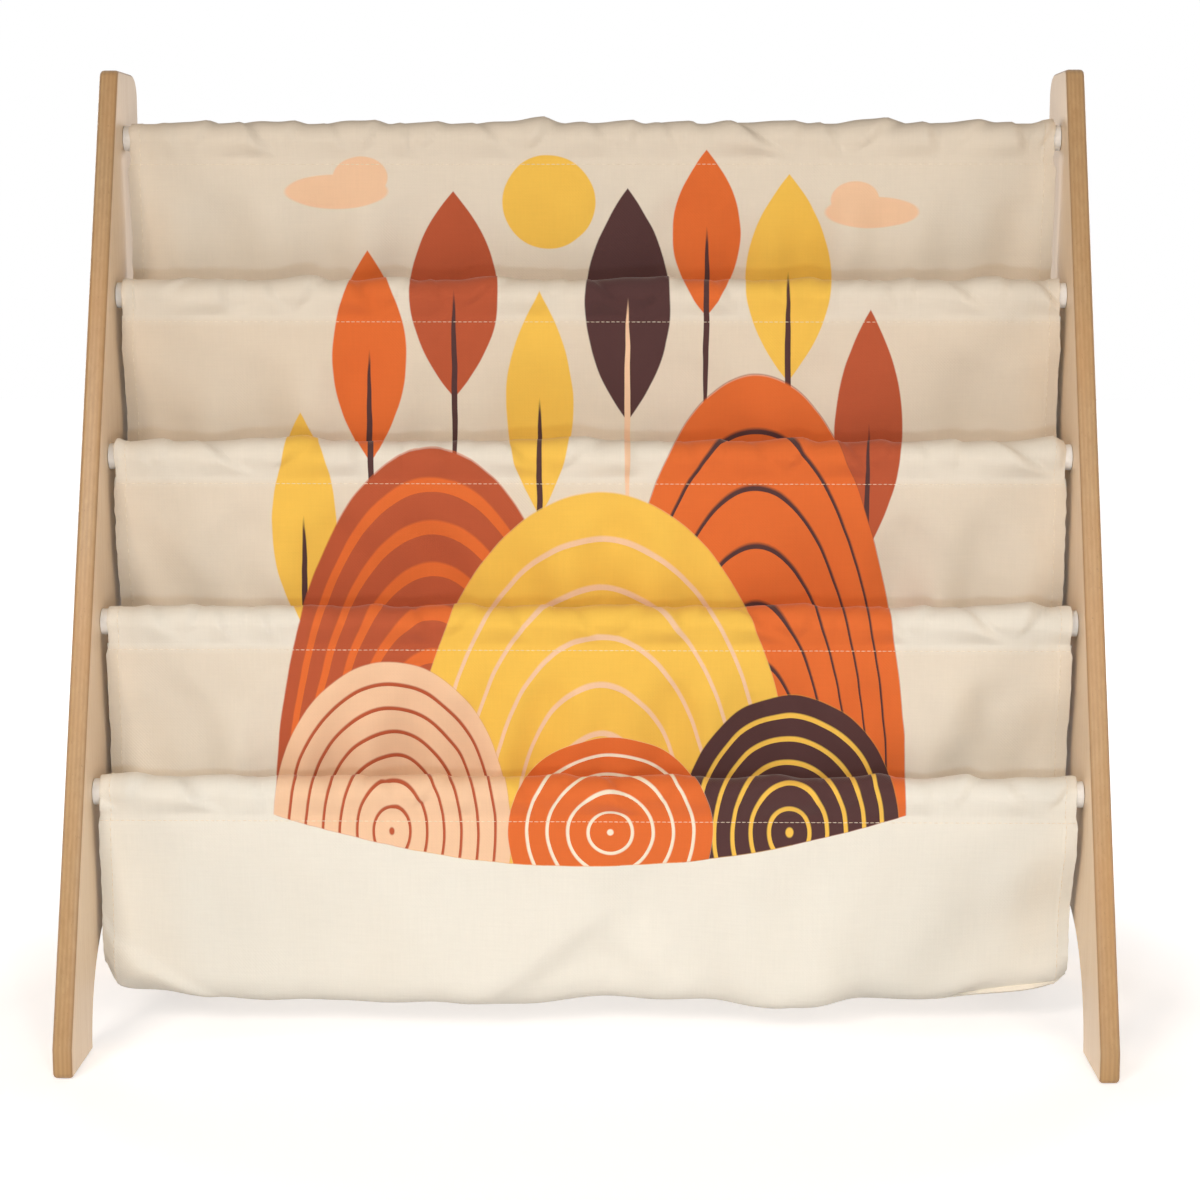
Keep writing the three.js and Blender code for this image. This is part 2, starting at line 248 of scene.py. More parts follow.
def keep_mesh(name, mesh, material=None, smooth_angle=SMOOTH_ANGLE):
    """Puts a mesh into the scene as a finished piece, smooth but for its sharp edges."""
    if material:
        mesh.materials.append(material)
    mesh.polygons.foreach_set("use_smooth", [True] * len(mesh.polygons))
    if smooth_angle:
        mesh.set_sharp_from_angle(angle=smooth_angle)
    piece = bpy.data.objects.new(name, mesh)
    bpy.context.scene.collection.objects.link(piece)
    return piece


def new_rule(name, sockets):
    """A Geometry Nodes tree with named inputs. Sockets maps each input's name to its type."""
    tree = bpy.data.node_groups.new(name, "GeometryNodeTree")
    tree.interface.new_socket(name="Geometry", in_out="INPUT", socket_type="NodeSocketGeometry")
    for label, kind in sockets.items():
        tree.interface.new_socket(name=label, in_out="INPUT", socket_type="NodeSocket" + kind)
    tree.interface.new_socket(name="Geometry", in_out="OUTPUT", socket_type="NodeSocketGeometry")
    return tree, add(tree, "NodeGroupInput", out=None).outputs


def end_rule(tree, geometry, material):
    """Ends a tree as every rule here ends: real copies and a material."""
    real = add(tree, "GeometryNodeRealizeInstances", {0: geometry})
    painted = add(tree, "GeometryNodeSetMaterial", {"Geometry": real, "Material": material})
    add(tree, "NodeGroupOutput", {"Geometry": painted}, out=None)


def run_rule(tree, values, start=None):
    """Runs a tree once on a start mesh and gives its result as a plain mesh."""
    worker = bpy.data.objects.new(tree.name, start or bpy.data.meshes.new(tree.name))
    bpy.context.scene.collection.objects.link(worker)
    modifier = worker.modifiers.new(tree.name, "NODES")
    modifier.node_group = tree
    for item in tree.interface.items_tree:
        if item.in_out == "INPUT" and item.name in values:
            modifier[item.identifier] = values[item.name]
    bpy.context.view_layer.update()
    graph = bpy.context.evaluated_depsgraph_get()
    mesh = bpy.data.meshes.new_from_object(worker.evaluated_get(graph))
    bpy.data.objects.remove(worker)
    return mesh


# %% [markdown]
# ## Lacquered birch plywood
# The boards are cut from 12 mm plywood, and their edges are rounded over and lacquered. On a face the eye
# sees calm rotary-cut veneer with long soft streaks. On an edge it sees the plies: veneers that run along
# the edge look pale, and the crosswise ones between them show darker end grain. A texture could be
# painted, but the rule is simple enough for nodes: the face's direction says which look applies, and the
# distance through the board says which ply shows. The lacquer gives a thin satin coat.

# %% Plywood material
PLY_THICKNESS = 1.33 * MM
STREAK_WIDTH = 3.0 * MM
STREAK_LENGTH = 130 * MM
PORE_WIDTH = 0.8 * MM
PORE_LENGTH = 14 * MM
CLOUDS_PER_METRE = (30, 30, 2.2)
PLY_WANDER = 0.5 * MM
RIM_SHADE_WIDTH = 2.2 * MM
GRAIN_RELIEF = 0.25 * MM
FACE_FROM = 0.93
EDGE_FROM = 0.80
FACE_WOOD = {"pale": linear("#F4E0C6"), "streak": linear("#D9B98F"), "cloud": linear("#EDD4B6"),
             "pore": linear("#B98F62")}
# Edge wood. Its rim colour is painted shade on the rounded rims, partly the outer plies' own tone.
EDGE_WOOD = {"long": linear("#C6A577"), "long_streak": linear("#A57F50"), "cross": linear("#B59064"),
             "cross_streak": linear("#957148"), "warm": linear("#BC8B53"), "rim": linear("#83603E"),
             "pore": linear("#7E5C3C")}


def make_plywood():
    """Lacquered birch plywood: face and edge looks, parted by the direction a surface looks in."""
    material, tree, shader = new_material("birch_plywood_lacquered", Roughness=0.46, Coat_Weight=0.18,
                                          Coat_Roughness=0.3)
    place = add(tree, "ShaderNodeTexCoord", out="Object")
    along_grain = (1 / STREAK_WIDTH, 1 / STREAK_WIDTH, 1 / STREAK_LENGTH)
    streak_place = add(tree, "ShaderNodeMapping", {"Vector": place, "Scale": along_grain})
    streaks = add(tree, "ShaderNodeTexNoise", {"Vector": streak_place, "Scale": 1.0, "Detail": 4.0,
                                               "Roughness": 0.6, "Distortion": 0.4})
    cloud_place = add(tree, "ShaderNodeMapping", {"Vector": place, "Scale": CLOUDS_PER_METRE})
    clouds = add(tree, "ShaderNodeTexNoise", {"Vector": cloud_place, "Scale": 1.0, "Detail": 3.0})
    pore_scale = (1 / PORE_WIDTH, 1 / PORE_WIDTH, 1 / PORE_LENGTH)
    pore_place = add(tree, "ShaderNodeMapping", {"Vector": place, "Scale": pore_scale})
    pores = add(tree, "ShaderNodeTexNoise", {"Vector": pore_place, "Scale": 1.0, "Detail": 2.0})
    face = face_colour(tree, streaks, clouds, pores)
    edge = edge_colour(tree, place, streaks, clouds, pores)
    colour = add(tree, "ShaderNodeMix", {0: edge_share(tree), 6: face, 7: edge}, out=2, data_type="RGBA")
    tree.links.new(colour, shader.inputs["Base Color"])
    relief = add(tree, "ShaderNodeMath", {0: streaks, 1: pores}, operation="ADD")
    bump = add(tree, "ShaderNodeBump", {"Height": relief, "Strength": 0.25, "Distance": GRAIN_RELIEF})
    tree.links.new(bump, shader.inputs["Normal"])
    return material


def face_colour(tree, streaks, clouds, pores):
    """Pale veneer: warm and light, with soft streaks and fine pores."""
    wood = add(tree, "ShaderNodeMix", {0: streaks, 6: FACE_WOOD["pale"], 7: FACE_WOOD["streak"]}, out=2,
               data_type="RGBA")
    warm = add(tree, "ShaderNodeMix", {0: clouds, 6: wood, 7: FACE_WOOD["cloud"]}, out=2, data_type="RGBA")
    speck = add(tree, "ShaderNodeMapRange", {"Value": pores, "From Min": 0.62, "From Max": 0.75,
                                             "To Min": 0.0, "To Max": 0.35})
    return add(tree, "ShaderNodeMix", {0: speck, 6: warm, 7: FACE_WOOD["pore"]}, out=2, data_type="RGBA")


def edge_colour(tree, place, streaks, clouds, pores):
    """The stack of plies, darker towards both rounded rims: painted shade of the rounded-over edges, partly
    the outer plies' own tone.
    """
    across = add(tree, "ShaderNodeSeparateXYZ", {0: place}, out="X")
    depth = add(tree, "ShaderNodeMath", {0: across}, operation="ABSOLUTE")
    wander = add(tree, "ShaderNodeMath", {0: clouds, 1: PLY_WANDER}, operation="MULTIPLY")
    inside = add(tree, "ShaderNodeMath", {0: depth, 1: wander}, operation="ADD")
    plies = add(tree, "ShaderNodeMath", {0: inside, 1: math.pi / PLY_THICKNESS}, operation="MULTIPLY")
    wave = add(tree, "ShaderNodeMath", {0: plies}, operation="SINE")
    layer = add(tree, "ShaderNodeMapRange", {"Value": wave, "From Min": -0.6, "From Max": 0.6, "To Max": 0.6})
    plies_of = {}
    for ply in ("long", "cross"):
        wood, streak = EDGE_WOOD[ply], EDGE_WOOD[ply + "_streak"]
        plies_of[ply] = add(tree, "ShaderNodeMix", {0: streaks, 6: wood, 7: streak}, out=2, data_type="RGBA")
    stack = add(tree, "ShaderNodeMix", {0: layer, 6: plies_of["long"], 7: plies_of["cross"]}, out=2,
                data_type="RGBA")
    warm = add(tree, "ShaderNodeMapRange", {"Value": clouds, "From Min": 0.35, "From Max": 0.7,
                                            "To Min": 0.0, "To Max": 0.55})
    toned = add(tree, "ShaderNodeMix", {0: warm, 6: stack, 7: EDGE_WOOD["warm"]}, out=2, data_type="RGBA")
    # Painted shade of the rounded rims, partly the outer plies' own darker tone: the edge darkens towards both
    # faces of the board.
    half = (OUTER_FACE - INNER_FACE) / 2
    off_centre = add(tree, "ShaderNodeMath", {0: depth, 1: INNER_FACE + half}, operation="SUBTRACT")
    rim_way = add(tree, "ShaderNodeMath", {0: off_centre}, operation="ABSOLUTE")
    rim = add(tree, "ShaderNodeMapRange", {"Value": rim_way, "From Min": half - RIM_SHADE_WIDTH, "From Max": half,
                                           "To Min": 0.0, "To Max": 0.45})
    rimmed = add(tree, "ShaderNodeMix", {0: rim, 6: toned, 7: EDGE_WOOD["rim"]}, out=2, data_type="RGBA")
    speck = add(tree, "ShaderNodeMapRange", {"Value": pores, "From Min": 0.66, "From Max": 0.78,
                                             "To Min": 0.0, "To Max": 0.5})
    return add(tree, "ShaderNodeMix", {0: speck, 6: rimmed, 7: EDGE_WOOD["pore"]}, out=2, data_type="RGBA")


def edge_share(tree):
    """0 on the flat faces, which look along X, and 1 on the edges."""
    normal = add(tree, "ShaderNodeTexCoord", out="Normal")
    along = add(tree, "ShaderNodeSeparateXYZ", {0: normal}, out="X")
    flat = add(tree, "ShaderNodeMath", {0: along}, operation="ABSOLUTE")
    return add(tree, "ShaderNodeMapRange", {"Value": flat, "From Min": FACE_FROM, "From Max": EDGE_FROM})


plywood = make_plywood()
print("material:", plywood.name)

# %% [markdown]
# ## The side boards
# Each board is one plate with a leaning front edge, a plumb back edge, and a half-round arch between two
# feet. It could be a cube with cuts, but its outline is the whole shape, so the outline is drawn as
# straight runs and arcs and lofted through the thickness. The rounded rims come from rings of the same
# outline, each moved inwards as the easing turns over. Five bolt holes are then cut through.

# %% Side boards
EASING = 2.5 * MM
EASING_STEPS = 5
TOE_HEIGHT = 18 * MM
TOP_DEPTH = 60 * MM
ARCH_RADIUS = 78 * MM
FOOT_RADIUS = 4 * MM
FRONT_TOP_RADIUS = 6 * MM
BACK_TOP_RADIUS = 15 * MM
BOLT_HOLE_RADIUS = 3.3 * MM
ARC_STEP = math.radians(5)
FEWEST_ARC_STEPS = 4
FRONT, BACK = board_low.y, board_high.y
TOP = board_high.z
LEAN = (BACK - TOP_DEPTH - FRONT) / (TOP - TOE_HEIGHT)


def arc(centre, radius, start, end):
    """Points along an arc in the YZ plane, both ends included."""
    steps = max(FEWEST_ARC_STEPS, round(abs(end - start) / ARC_STEP))
    angles = [start + (end - start) * step / steps for step in range(steps + 1)]
    return [(centre[0] + radius * math.cos(a), centre[1] + radius * math.sin(a)) for a in angles]


def board_outline():
    """The board's outline, running round it anticlockwise as seen from +X."""
    lean = math.atan(LEAN)
    corner = BACK - TOP_DEPTH - FRONT_TOP_RADIUS * LEAN + FRONT_TOP_RADIUS / math.cos(lean)
    middle_y = (FRONT + BACK) / 2
    points = [(FRONT, TOE_HEIGHT)]
    points += arc((FRONT + FOOT_RADIUS, FOOT_RADIUS), FOOT_RADIUS, math.pi, math.pi * 1.5)
    points += arc((middle_y, 0), ARCH_RADIUS, math.pi, 0)
    points += arc((BACK - FOOT_RADIUS, FOOT_RADIUS), FOOT_RADIUS, math.pi * 1.5, math.pi * 2)
    points += arc((BACK - BACK_TOP_RADIUS, TOP - BACK_TOP_RADIUS), BACK_TOP_RADIUS, 0, math.pi / 2)
    points += arc((corner, TOP - FRONT_TOP_RADIUS), FRONT_TOP_RADIUS, math.pi / 2, math.pi - lean)
    return np.array(points)


def inset(points, distance):
    """The outline moved inwards, each corner along its mitre."""
    ahead = np.roll(points, -1, axis=0) - points
    ahead /= np.linalg.norm(ahead, axis=1)[:, None]
    inward = np.stack([-ahead[:, 1], ahead[:, 0]], axis=1)
    before = np.roll(inward, 1, axis=0)
    mitre = (inward + before) / (1 + (inward * before).sum(1))[:, None]
    return points + mitre * distance


def loft(rings, closed_ends=True):
    """Vertices and faces of a skin through rings that have equally many points."""
    count = len(rings[0])
    vertices = [tuple(point) for ring in rings for point in ring]
    faces = []
    for level in range(len(rings) - 1):
        for at in range(count):
            after = (at + 1) % count
            low, high = level * count, (level + 1) * count
            faces.append((low + at, low + after, high + after, high + at))
    if closed_ends:
        faces.append(tuple(range(count - 1, -1, -1)))
        faces.append(tuple(range((len(rings) - 1) * count, len(rings) * count)))
    return vertices, faces


def board_rings():
    """The outline at each step through the right board, from its inner face to its outer face."""
    outline = board_outline()
    turns = [math.pi / 2 * step / EASING_STEPS for step in range(EASING_STEPS + 1)]
    easing = [(EASING * (1 - math.sin(t)), EASING * (1 - math.cos(t))) for t in turns]
    inner = [(INNER_FACE + depth, drawn_in) for drawn_in, depth in easing]
    outer = [(OUTER_FACE - depth, drawn_in) for drawn_in, depth in reversed(easing)]
    rings = []
    for x, drawn_in in inner + outer:
        rings.append([(x, y, z) for y, z in inset(outline, drawn_in)])
    return rings


def hole_cutter():
    """Five rods along X, one for each bolt hole."""
    vertices, faces = [], []
    for axis in tube_axes:
        circle = arc((axis.y, axis.z), BOLT_HOLE_RADIUS, 0, math.tau)[:-1]
        rod = [[(x, y, z) for y, z in circle] for x in (INNER_FACE - EASING, OUTER_FACE + EASING)]
        rod_vertices, rod_faces = loft(rod)
        faces += [tuple(at + len(vertices) for at in face) for face in rod_faces]
        vertices += rod_vertices
    mesh = bpy.data.meshes.new("hole_cutter")
    mesh.from_pydata(vertices, [], faces)
    cutter = bpy.data.objects.new("hole_cutter", mesh)
    bpy.context.scene.collection.objects.link(cutter)
    return cutter


def make_boards():
    """The right board as lofted and drilled, and the left one as its mirror image."""
    vertices, faces = loft(board_rings())
    blank_mesh = bpy.data.meshes.new("board_blank")
    blank_mesh.from_pydata(vertices, [], faces)
    blank = bpy.data.objects.new("board_blank", blank_mesh)
    bpy.context.scene.collection.objects.link(blank)
    cutter = hole_cutter()
    drill = blank.modifiers.new("drill", "BOOLEAN")
    drill.object = cutter
    drill.solver = "EXACT"
    graph = bpy.context.evaluated_depsgraph_get()
    right_mesh = bpy.data.meshes.new_from_object(blank.evaluated_get(graph))
    left_mesh = right_mesh.copy()
    left_mesh.transform(Matrix.Scale(-1, 4, (1, 0, 0)))
    left_mesh.flip_normals()
    bpy.data.objects.remove(blank)
    bpy.data.objects.remove(cutter)
    for side, mesh in (("left", left_mesh), ("right", right_mesh)):
        board = keep_mesh(f"plywood_board_{side}", mesh, plywood)
        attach(board, "root")
        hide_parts(f"side_board_{side}")
        print(board.name, "has", len(mesh.polygons), "faces")


make_boards()

# %% [markdown]
# ## The tubes
# Five plain steel tubes, 16 mm across with a thin wall, in one slanting row. They repeat at equal steps,
# so a Geometry Nodes rule makes them: the wall's section, a long thin rectangle with broken corners, is
# swept once round a circle, turned to lie along the shelf, and copied to points on a line. White powder
# coat covers them. It is an opaque plastic skin, baked on, glossy with very fine orange peel.

# %% Powder coat material and tubes
PEEL_SIZE = 1.4 * MM
PEEL_RELIEF = 0.1 * MM
BURR_RADIUS = 0.2 * MM
BURR_STEPS = 3
TUBE_SIDES = 64


def make_powder_coat():
    """White powder coat: a glossy plastic skin with fine orange peel."""
    material, tree, shader = new_material("powder_coat_white", Roughness=0.28, Coat_Weight=0.25,
                                          Coat_Roughness=0.12)
    place = add(tree, "ShaderNodeTexCoord", out="Object")
    peel = add(tree, "ShaderNodeTexNoise", {"Vector": place, "Scale": 1 / PEEL_SIZE, "Detail": 1.0})
    tint = add(tree, "ShaderNodeMix", {0: peel, 6: linear("#FFFFFF"), 7: linear("#F8F8F5")}, out=2,
               data_type="RGBA")
    tree.links.new(tint, shader.inputs["Base Color"])
    bump = add(tree, "ShaderNodeBump", {"Height": peel, "Strength": 0.08, "Distance": PEEL_RELIEF})
    tree.links.new(bump, shader.inputs["Normal"])
    return material


def make_tube_rule():
    """Sweeps a tube's wall round its axis and copies the tube along a line."""
    tree, given = new_rule("tube_rule", {"Length": "Float", "Middle radius": "Float", "Wall": "Float",
                                         "Burr radius": "Float", "First axis": "Vector", "Step": "Vector",
                                         "Count": "Int", "Coat": "Material"})
    round_path = add(tree, "GeometryNodeCurvePrimitiveCircle", {"Resolution": TUBE_SIDES,
                                                                "Radius": given["Middle radius"]})
    section = add(tree, "GeometryNodeCurvePrimitiveQuadrilateral", {"Width": given["Wall"],
                                                                    "Height": given["Length"]})
    eased = add(tree, "GeometryNodeFilletCurve", {"Curve": section, "Count": BURR_STEPS,
                                                  "Radius": given["Burr radius"]}, mode="POLY")
    wall = add(tree, "GeometryNodeCurveToMesh", {"Curve": round_path, "Profile Curve": eased})
    line = add(tree, "GeometryNodeMeshLine", {"Count": given["Count"], "Start Location": given["First axis"],
                                              "Offset": given["Step"]})
    turned = add(tree, "FunctionNodeEulerToRotation", {0: (0, math.pi / 2, 0)})
    copies = add(tree, "GeometryNodeInstanceOnPoints", {"Points": line, "Instance": wall, "Rotation": turned})
    end_rule(tree, copies, given["Coat"])
    return tree


powder_coat = make_powder_coat()
tube_mesh = run_rule(make_tube_rule(), {
    "Length": 2 * TUBE_HALF_LENGTH, "Middle radius": TUBE_RADIUS - TUBE_WALL / 2, "Wall": TUBE_WALL,
    "Burr radius": BURR_RADIUS, "First axis": tube_axes[0], "Step": tube_axes[1] - tube_axes[0],
    "Count": TUBES, "Coat": powder_coat})
tubes = keep_mesh("steel_tubes", tube_mesh)
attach(tubes, "root")
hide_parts(*[f"tube_{number}" for number in range(1, TUBES + 1)])
print("tubes:", TUBES, "with", len(tube_mesh.polygons), "faces")

# %% [markdown]
# ## Bolts and inserts
# A connector bolt clamps each board to each tube. Its low domed head has a hexagon socket, which a plain
# lathe shape can't have, so the head is lofted. Rings of equal point counts run from the shank over the
# rim to the crown, where the last rings take the hexagon's outline and drop into the socket. A rule
# places ten copies. They are nickel plated steel, which gives a warm grey shine. The zinc plated inserts
# inside the tube ends keep the frame's shape and get a duller, bluer plating.

# %% Plated metals
TURNING_LINE = 0.35 * MM
TURNING_RELIEF = 0.05 * MM
CLOUD_SCALE = 160.0


def make_plating(name, colour, dull_colour, roughness):
    """A plated, turned metal: fine rings from the lathe, and plating that is not quite even."""
    material, tree, shader = new_material(name, Metallic=1.0, Roughness=roughness)
    place = add(tree, "ShaderNodeTexCoord", out="Object")
    turning = add(tree, "ShaderNodeTexNoise", {"Vector": place, "Scale": 1 / TURNING_LINE, "Detail": 2.0})
    cloud = add(tree, "ShaderNodeTexNoise", {"Vector": place, "Scale": CLOUD_SCALE, "Detail": 3.0})
    tint = add(tree, "ShaderNodeMix", {0: cloud, 6: linear(colour), 7: linear(dull_colour)}, out=2,
               data_type="RGBA")
    tree.links.new(tint, shader.inputs["Base Color"])
    bump = add(tree, "ShaderNodeBump", {"Height": turning, "Strength": 0.12, "Distance": TURNING_RELIEF})
    tree.links.new(bump, shader.inputs["Normal"])
    return material


nickel = make_plating("nickel_plated_steel", "#CFCBC4", "#B4AFA7", 0.24)
zinc = make_plating("zinc_plated_steel", "#C3C7CB", "#A5A9AE", 0.38)
for number in range(1, TUBES + 1):
    for side in ("left", "right"):
        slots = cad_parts[f"insert_{side}_{number}"].data.materials
        slots.clear()
        slots.append(zinc)
print("plated:", nickel.name, "and", zinc.name)

# %% Connector bolts
BOLT_POINTS = 48
SEAT_GAP = 0.3 * MM
SHANK_RADIUS = 3.0 * MM
SHANK_REACH = 14 * MM
SHANK_POINT = 1.0 * MM
HEAD_RADIUS = 8.5 * MM
HEAD_HEIGHT = 2.6 * MM
HEAD_RIM = 1.1 * MM
HEAD_EASING = 0.2 * MM
SOCKET_WIDTH = 4 * MM
SOCKET_DEPTH = 1.8 * MM
SOCKET_MOUTH_SHARE = 1.08
SOCKET_MOUTH_DEPTH = 0.15 * MM
DRILL_POINT = 0.5 * MM
DRILL_POINT_RADIUS = 0.4 * MM
DOME_STEPS = 5
HEXAGON = 6


def round_ring(x, radius):
    """A ring of points along a circle round the bolt's axis."""
    turns = [math.tau * at / BOLT_POINTS for at in range(BOLT_POINTS)]
    return [(x, radius * math.cos(turn), radius * math.sin(turn)) for turn in turns]


def hexagon_ring(x, width):
    """A ring along a hexagon's outline, where width is the distance between opposite flats."""
    ring = []
    side = math.tau / HEXAGON
    for at in range(BOLT_POINTS):
        turn = math.tau * at / BOLT_POINTS
        off_flat = (turn + side / 2) % side - side / 2
        reach = width / 2 / math.cos(off_flat)
        ring.append((x, reach * math.cos(turn), reach * math.sin(turn)))
    return ring


def bolt_mesh():
    """One bolt along X with its head outwards, as seated in the right board."""
    seat = OUTER_FACE + SEAT_GAP
    tip = TUBE_HALF_LENGTH - SHANK_REACH
    crown = HEAD_RADIUS - (HEAD_HEIGHT - HEAD_RIM)
    rings = [round_ring(tip, SHANK_RADIUS - SHANK_POINT), round_ring(tip + SHANK_POINT, SHANK_RADIUS),
             round_ring(seat, SHANK_RADIUS), round_ring(seat, HEAD_RADIUS - HEAD_EASING),
             round_ring(seat + HEAD_EASING, HEAD_RADIUS), round_ring(seat + HEAD_RIM, HEAD_RADIUS)]
    for step in range(1, DOME_STEPS + 1):
        turn = math.pi / 2 * step / DOME_STEPS
        height = seat + HEAD_RIM + (HEAD_HEIGHT - HEAD_RIM) * math.sin(turn)
        rings.append(round_ring(height, crown + (HEAD_RADIUS - crown) * math.cos(turn)))
    top = seat + HEAD_HEIGHT
    bottom = top - SOCKET_DEPTH
    rings += [hexagon_ring(top, SOCKET_WIDTH * SOCKET_MOUTH_SHARE),
              hexagon_ring(top - SOCKET_MOUTH_DEPTH, SOCKET_WIDTH), hexagon_ring(bottom, SOCKET_WIDTH),
              round_ring(bottom - DRILL_POINT, DRILL_POINT_RADIUS)]
    vertices, faces = loft(rings)
    mesh = bpy.data.meshes.new("bolt")
    mesh.from_pydata(vertices, [], faces)
    return mesh


def make_bolt_rule():
    """Copies the right board's bolt down the row of tubes, and turned about for the left board."""
    tree, given = new_rule("bolt_rule", {"First axis": "Vector", "Step": "Vector", "Count": "Int",
                                         "Plating": "Material"})
    line = add(tree, "GeometryNodeMeshLine", {"Count": given["Count"], "Start Location": given["First axis"],
                                              "Offset": given["Step"]})
    half_turn = add(tree, "FunctionNodeEulerToRotation", {0: (0, 0, math.pi)})
    right = add(tree, "GeometryNodeInstanceOnPoints", {"Points": line, "Instance": given["Geometry"]})
    left = add(tree, "GeometryNodeInstanceOnPoints", {"Points": line, "Instance": given["Geometry"],
                                                      "Rotation": half_turn})
    row = add(tree, "GeometryNodeJoinGeometry", out=None)
    tree.links.new(right, row.inputs[0])
    tree.links.new(left, row.inputs[0])
    end_rule(tree, row.outputs[0], given["Plating"])
    return tree


bolts_mesh = run_rule(make_bolt_rule(), {"First axis": tube_axes[0], "Step": tube_axes[1] - tube_axes[0],
                                         "Count": TUBES, "Plating": nickel}, bolt_mesh())
bolts = keep_mesh("connector_bolts", bolts_mesh)
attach(bolts, "root")
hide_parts(*[f"bolt_{side}_{number}" for side in ("left", "right") for number in range(1, TUBES + 1)])
print("bolts:", 2 * TUBES, "with", len(bolts_mesh.polygons), "faces")

# %% [markdown]
# ## The picture on the cloth
# The front of the sling carries one large print that runs on from tier to tier. Here it is a landscape
# cut from simple shapes: round hills with contour lines, leaf-shaped trees, a plain sun and two clouds,
# in mustard, orange, rust, brown and peach on cream. An image could hold it, but shapes drawn by nodes
# stay crisp at any distance. Every shape is a distance that is 1 on its outline, wobbled a little as if
# cut by hand. The print's own map is read in millimetres, across from the middle and up from the floor.

# %% Inks and motifs of the print
INK = {"mustard": "#F2C250", "orange": "#DF6B2B", "rust": "#B6532F", "brown": "#4B2B2A", "peach": "#F1C8A4",
       "cream": "#F4E6CF"}
BASE_LINE = 130
FOOT_LINE = 110
FOOT_REACH = 240.0
FOOT_RISE = 48.0
HILLS = [
    {"middle": -92, "reach": (96, 232), "ink": "rust", "line": "orange", "lines": 9, "share": 0.34},
    {"middle": 100, "reach": (92, 276), "ink": "orange", "line": "brown", "lines": 8, "share": 0.10},
    {"middle": 8, "reach": (116, 206), "ink": "mustard", "line": "peach", "lines": 7, "share": 0.12},
    {"middle": -118, "reach": (72, 104), "ink": "peach", "line": "rust", "lines": 7, "share": 0.16},
    {"middle": 122, "reach": (66, 84), "ink": "brown", "line": "mustard", "lines": 6, "share": 0.22},
    {"middle": 14, "reach": (62, 58), "ink": "orange", "line": "cream", "lines": 5, "share": 0.16},
]
TREES = [
    {"middle": (-168, 318), "reach": (19, 66), "ink": "mustard", "foot": 210},
    {"middle": (-128, 416), "reach": (22, 62), "ink": "orange", "foot": 300},
    {"middle": (-78, 452), "reach": (26, 60), "ink": "rust", "foot": 340},
    {"middle": (-28, 388), "reach": (20, 66), "ink": "mustard", "foot": 280},
    {"middle": (24, 446), "reach": (25, 68), "ink": "brown", "foot": 320},
    {"middle": (70, 488), "reach": (20, 48), "ink": "orange", "foot": 380},
    {"middle": (118, 462), "reach": (25, 60), "ink": "mustard", "foot": 360},
    {"middle": (166, 372), "reach": (20, 72), "ink": "rust", "foot": 220},
]
OVALS = [
    {"middle": (-22, 506), "reach": (27, 27), "ink": "mustard"},
    {"middle": (-146, 512), "reach": (30, 10), "ink": "peach"},
    {"middle": (-132, 520), "reach": (16, 12), "ink": "peach"},
    {"middle": (166, 500), "reach": (27, 9), "ink": "peach"},
    {"middle": (156, 507), "reach": (14, 11), "ink": "peach"},
]
TRUNK_HALF_WIDTH = 1.7
TRUNK_EDGE = 0.08
EDGE_WOBBLE = 1.6
WOBBLE_SIZE = 26.0
NOISE_MIDDLE = (0.5, 0.5, 0.5)
INK_EDGE = 0.35


def distance_from(tree, place, middle, reach):
    """The place as seen from a shape's middle, in units of the shape's reach."""
    shifted = add(tree, "ShaderNodeVectorMath", {0: place, 1: (*middle, 0)}, operation="SUBTRACT")
    return add(tree, "ShaderNodeVectorMath", {0: shifted, 1: (*reach, 1)}, operation="DIVIDE")


def oval(tree, place, middle, reach):
    """The distance from an oval's middle, 1 on its outline."""
    seen = distance_from(tree, place, middle, reach)
    return add(tree, "ShaderNodeVectorMath", {0: seen}, out="Value", operation="LENGTH")


def leaf(tree, place, middle, reach):
    """A shape with a point at its top and foot: its half width falls with the square of the height."""
    seen = distance_from(tree, place, middle, reach)
    parts = add(tree, "ShaderNodeSeparateXYZ", {0: seen}, out=None)
    side = add(tree, "ShaderNodeMath", {0: parts.outputs["X"]}, operation="ABSOLUTE")
    rise = add(tree, "ShaderNodeMath", {0: parts.outputs["Y"], 1: parts.outputs["Y"]}, operation="MULTIPLY")
    return add(tree, "ShaderNodeMath", {0: side, 1: rise}, operation="ADD")


def inside(tree, distance, edge, softness):
    """1 where a distance is below an edge, 0 above it, with a narrow soft step."""
    return add(tree, "ShaderNodeMapRange", {"Value": distance, "From Min": edge + softness,
                                            "From Max": edge - softness})


def both(tree, first, second):
    """The product of two values, so that two masks give 1 only where both are 1."""
    return add(tree, "ShaderNodeMath", {0: first, 1: second}, operation="MULTIPLY")


def paint(tree, picture, mask, ink):
    """Lays one ink over the picture."""
    return add(tree, "ShaderNodeMix", {0: mask, 6: picture, 7: linear(INK[ink])}, out=2, data_type="RGBA")


def draw_hill(tree, picture, place, shown, hill):
    """An oval round the base line, cut off at the picture's foot, with contour lines like its outline."""
    distance = oval(tree, place, (hill["middle"], BASE_LINE), hill["reach"])
    mask = both(tree, inside(tree, distance, 1, INK_EDGE / hill["reach"][0]), shown)
    picture = paint(tree, picture, mask, hill["ink"])
    turns = add(tree, "ShaderNodeMath", {0: distance, 1: float(hill["lines"])}, operation="MULTIPLY")
    part = add(tree, "ShaderNodeMath", {0: turns}, operation="FRACT")
    line = inside(tree, part, hill["share"], INK_EDGE * hill["lines"] / hill["reach"][0])
    return paint(tree, picture, both(tree, line, mask), hill["line"])


